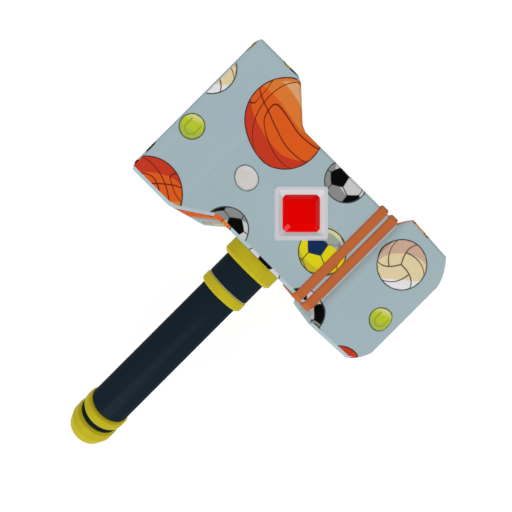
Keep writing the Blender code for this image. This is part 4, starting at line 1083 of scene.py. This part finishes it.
def head_pieces():
    kinds = ball_kinds()
    placing = placing_group()
    dress(printed_skin("printed_front", ("front", *SIDES), kinds, placing), "head_front_shell")
    dress(printed_skin("printed_back", ("back", *SIDES), kinds, placing), "head_rear_shell")
    bands = moulded("band_plastic", (185, 99, 51), rough=0.5, specular=0.1)
    dress(bands, "band_outer", "band_inner")
    dress(bezel_plastic(), "gem_bezel")
    dress(gem_plastic(), "gem_button")


def inner_pieces():
    white = moulded("inner_plastic", (215, 215, 210), rough=0.45)
    dress(white, "tail_carrier", "contact_plug", "button_guide", "speaker_clamp")
    steel = moulded(
        "steel", (190, 190, 192), rough=0.32, specular=0.5, drift=0.05, grain_size=0.2,
        metallic=1.0,
    )
    dress(steel, "tail_contact", "top_contact", "return_strip")
    dress(steel, *numbered("small_screw"), *numbered("speaker_screw"))
    springs(steel)
    for node in numbered("closing_screw"):
        cross_recess_screw(node, steel)
    board = moulded("board_laminate", (28, 92, 52), rough=0.35, specular=0.4, drift=0.08)
    dress(board, "circuit_board")
    black = moulded("black_plastic", (24, 24, 26))
    dress(black, "button_switch", "sound_chip", "speaker", "negative_lead")
    dress(black, *numbered("speaker_lead"))
    lens = moulded("lamp_lens", (235, 235, 240), rough=0.1, specular=0.5)
    dress(lens, *numbered("gem_lamp"))
    can = moulded("cell_can", (96, 102, 108), rough=0.3, specular=0.5, metallic=0.6)
    dress(can, "lower_cell", "upper_cell")
    dress(moulded("red_wire", (170, 22, 20)), "positive_lead")


def white_floor():
    """A white table: part of its white is its own glow, so that only a faint shadow shows."""
    bm = bmesh.new()
    bmesh.ops.create_grid(bm, x_segments=1, y_segments=1, size=FLOOR_SIZE)
    made, graph, shader = new_material("floor_white")
    floor = finish_mesh(bm, "floor", made)
    floor.location.z = -FLOOR_DROP
    shader.inputs["Base Color"].default_value = (FLOOR_GREY, FLOOR_GREY, FLOOR_GREY, 1.0)
    shader.inputs["Roughness"].default_value = FLOOR_ROUGHNESS
    shader.inputs["Specular IOR Level"].default_value = 0.0
    path = graph.node("ShaderNodeLightPath")
    seen = graph.out(path, "Is Camera Ray").max(graph.out(path, "Is Glossy Ray"))
    values = {"Color": (1, 1, 1, 1), "Strength": seen * FLOOR_GLOW_SEEN + FLOOR_GLOW}
    glow = graph.node("ShaderNodeEmission", values)
    values = {0: Wire(graph, shader.outputs[0]), 1: graph.out(glow)}
    added = graph.node("ShaderNodeAddShader", values)
    graph.feed(made.node_tree.nodes["Material Output"], {0: graph.out(added)})


def soft_light():
    """A white sky all round, and four soft lamps that fill without shadows of their own."""
    world = bpy.data.worlds.new("studio")
    bpy.context.scene.world = world
    world.use_nodes = True
    graph = Graph(world.node_tree)
    seen = graph.out(graph.node("ShaderNodeLightPath"), "Is Camera Ray")
    strength = graph.choose(seen, SKY, 1.0)
    graph.feed(world.node_tree.nodes["Background"], {"Color": (1, 1, 1, 1), "Strength": strength})
    for name, energy, towards in LAMPS:
        lamp = bpy.data.lights.new(name, "SUN")
        lamp.energy = energy
        lamp.angle = math.radians(LAMP_SPREAD)
        lamp.use_shadow = False
        placed = bpy.data.objects.new(name, lamp)
        bpy.context.scene.collection.objects.link(placed)
        away = Vector(towards).normalized()
        placed.rotation_euler = away.to_track_quat("Z", "Y").to_euler()
        placed.location = CROSSING + away * LAMP_DISTANCE


def camera():
    """Straight down on the face, turned so that the handle runs to the lower left."""
    made = bpy.data.cameras.new("camera")
    made.sensor_width = SENSOR_MM
    made.lens = SENSOR_MM * FOCAL_PIXELS / PICTURE_PIXELS
    made.shift_x = SHIFT_X
    made.shift_y = SHIFT_Y
    placed = bpy.data.objects.new("camera", made)
    bpy.context.scene.collection.objects.link(placed)
    placed.location = CROSSING + CAMERA_STEP
    placed.rotation_euler = (0.0, 0.0, math.radians(CAMERA_TURN))
    bpy.context.scene.camera = placed


head_pieces()
handle_pieces()
inner_pieces()
white_floor()
soft_light()
camera()
bpy.context.scene.view_settings.view_transform = "Standard"
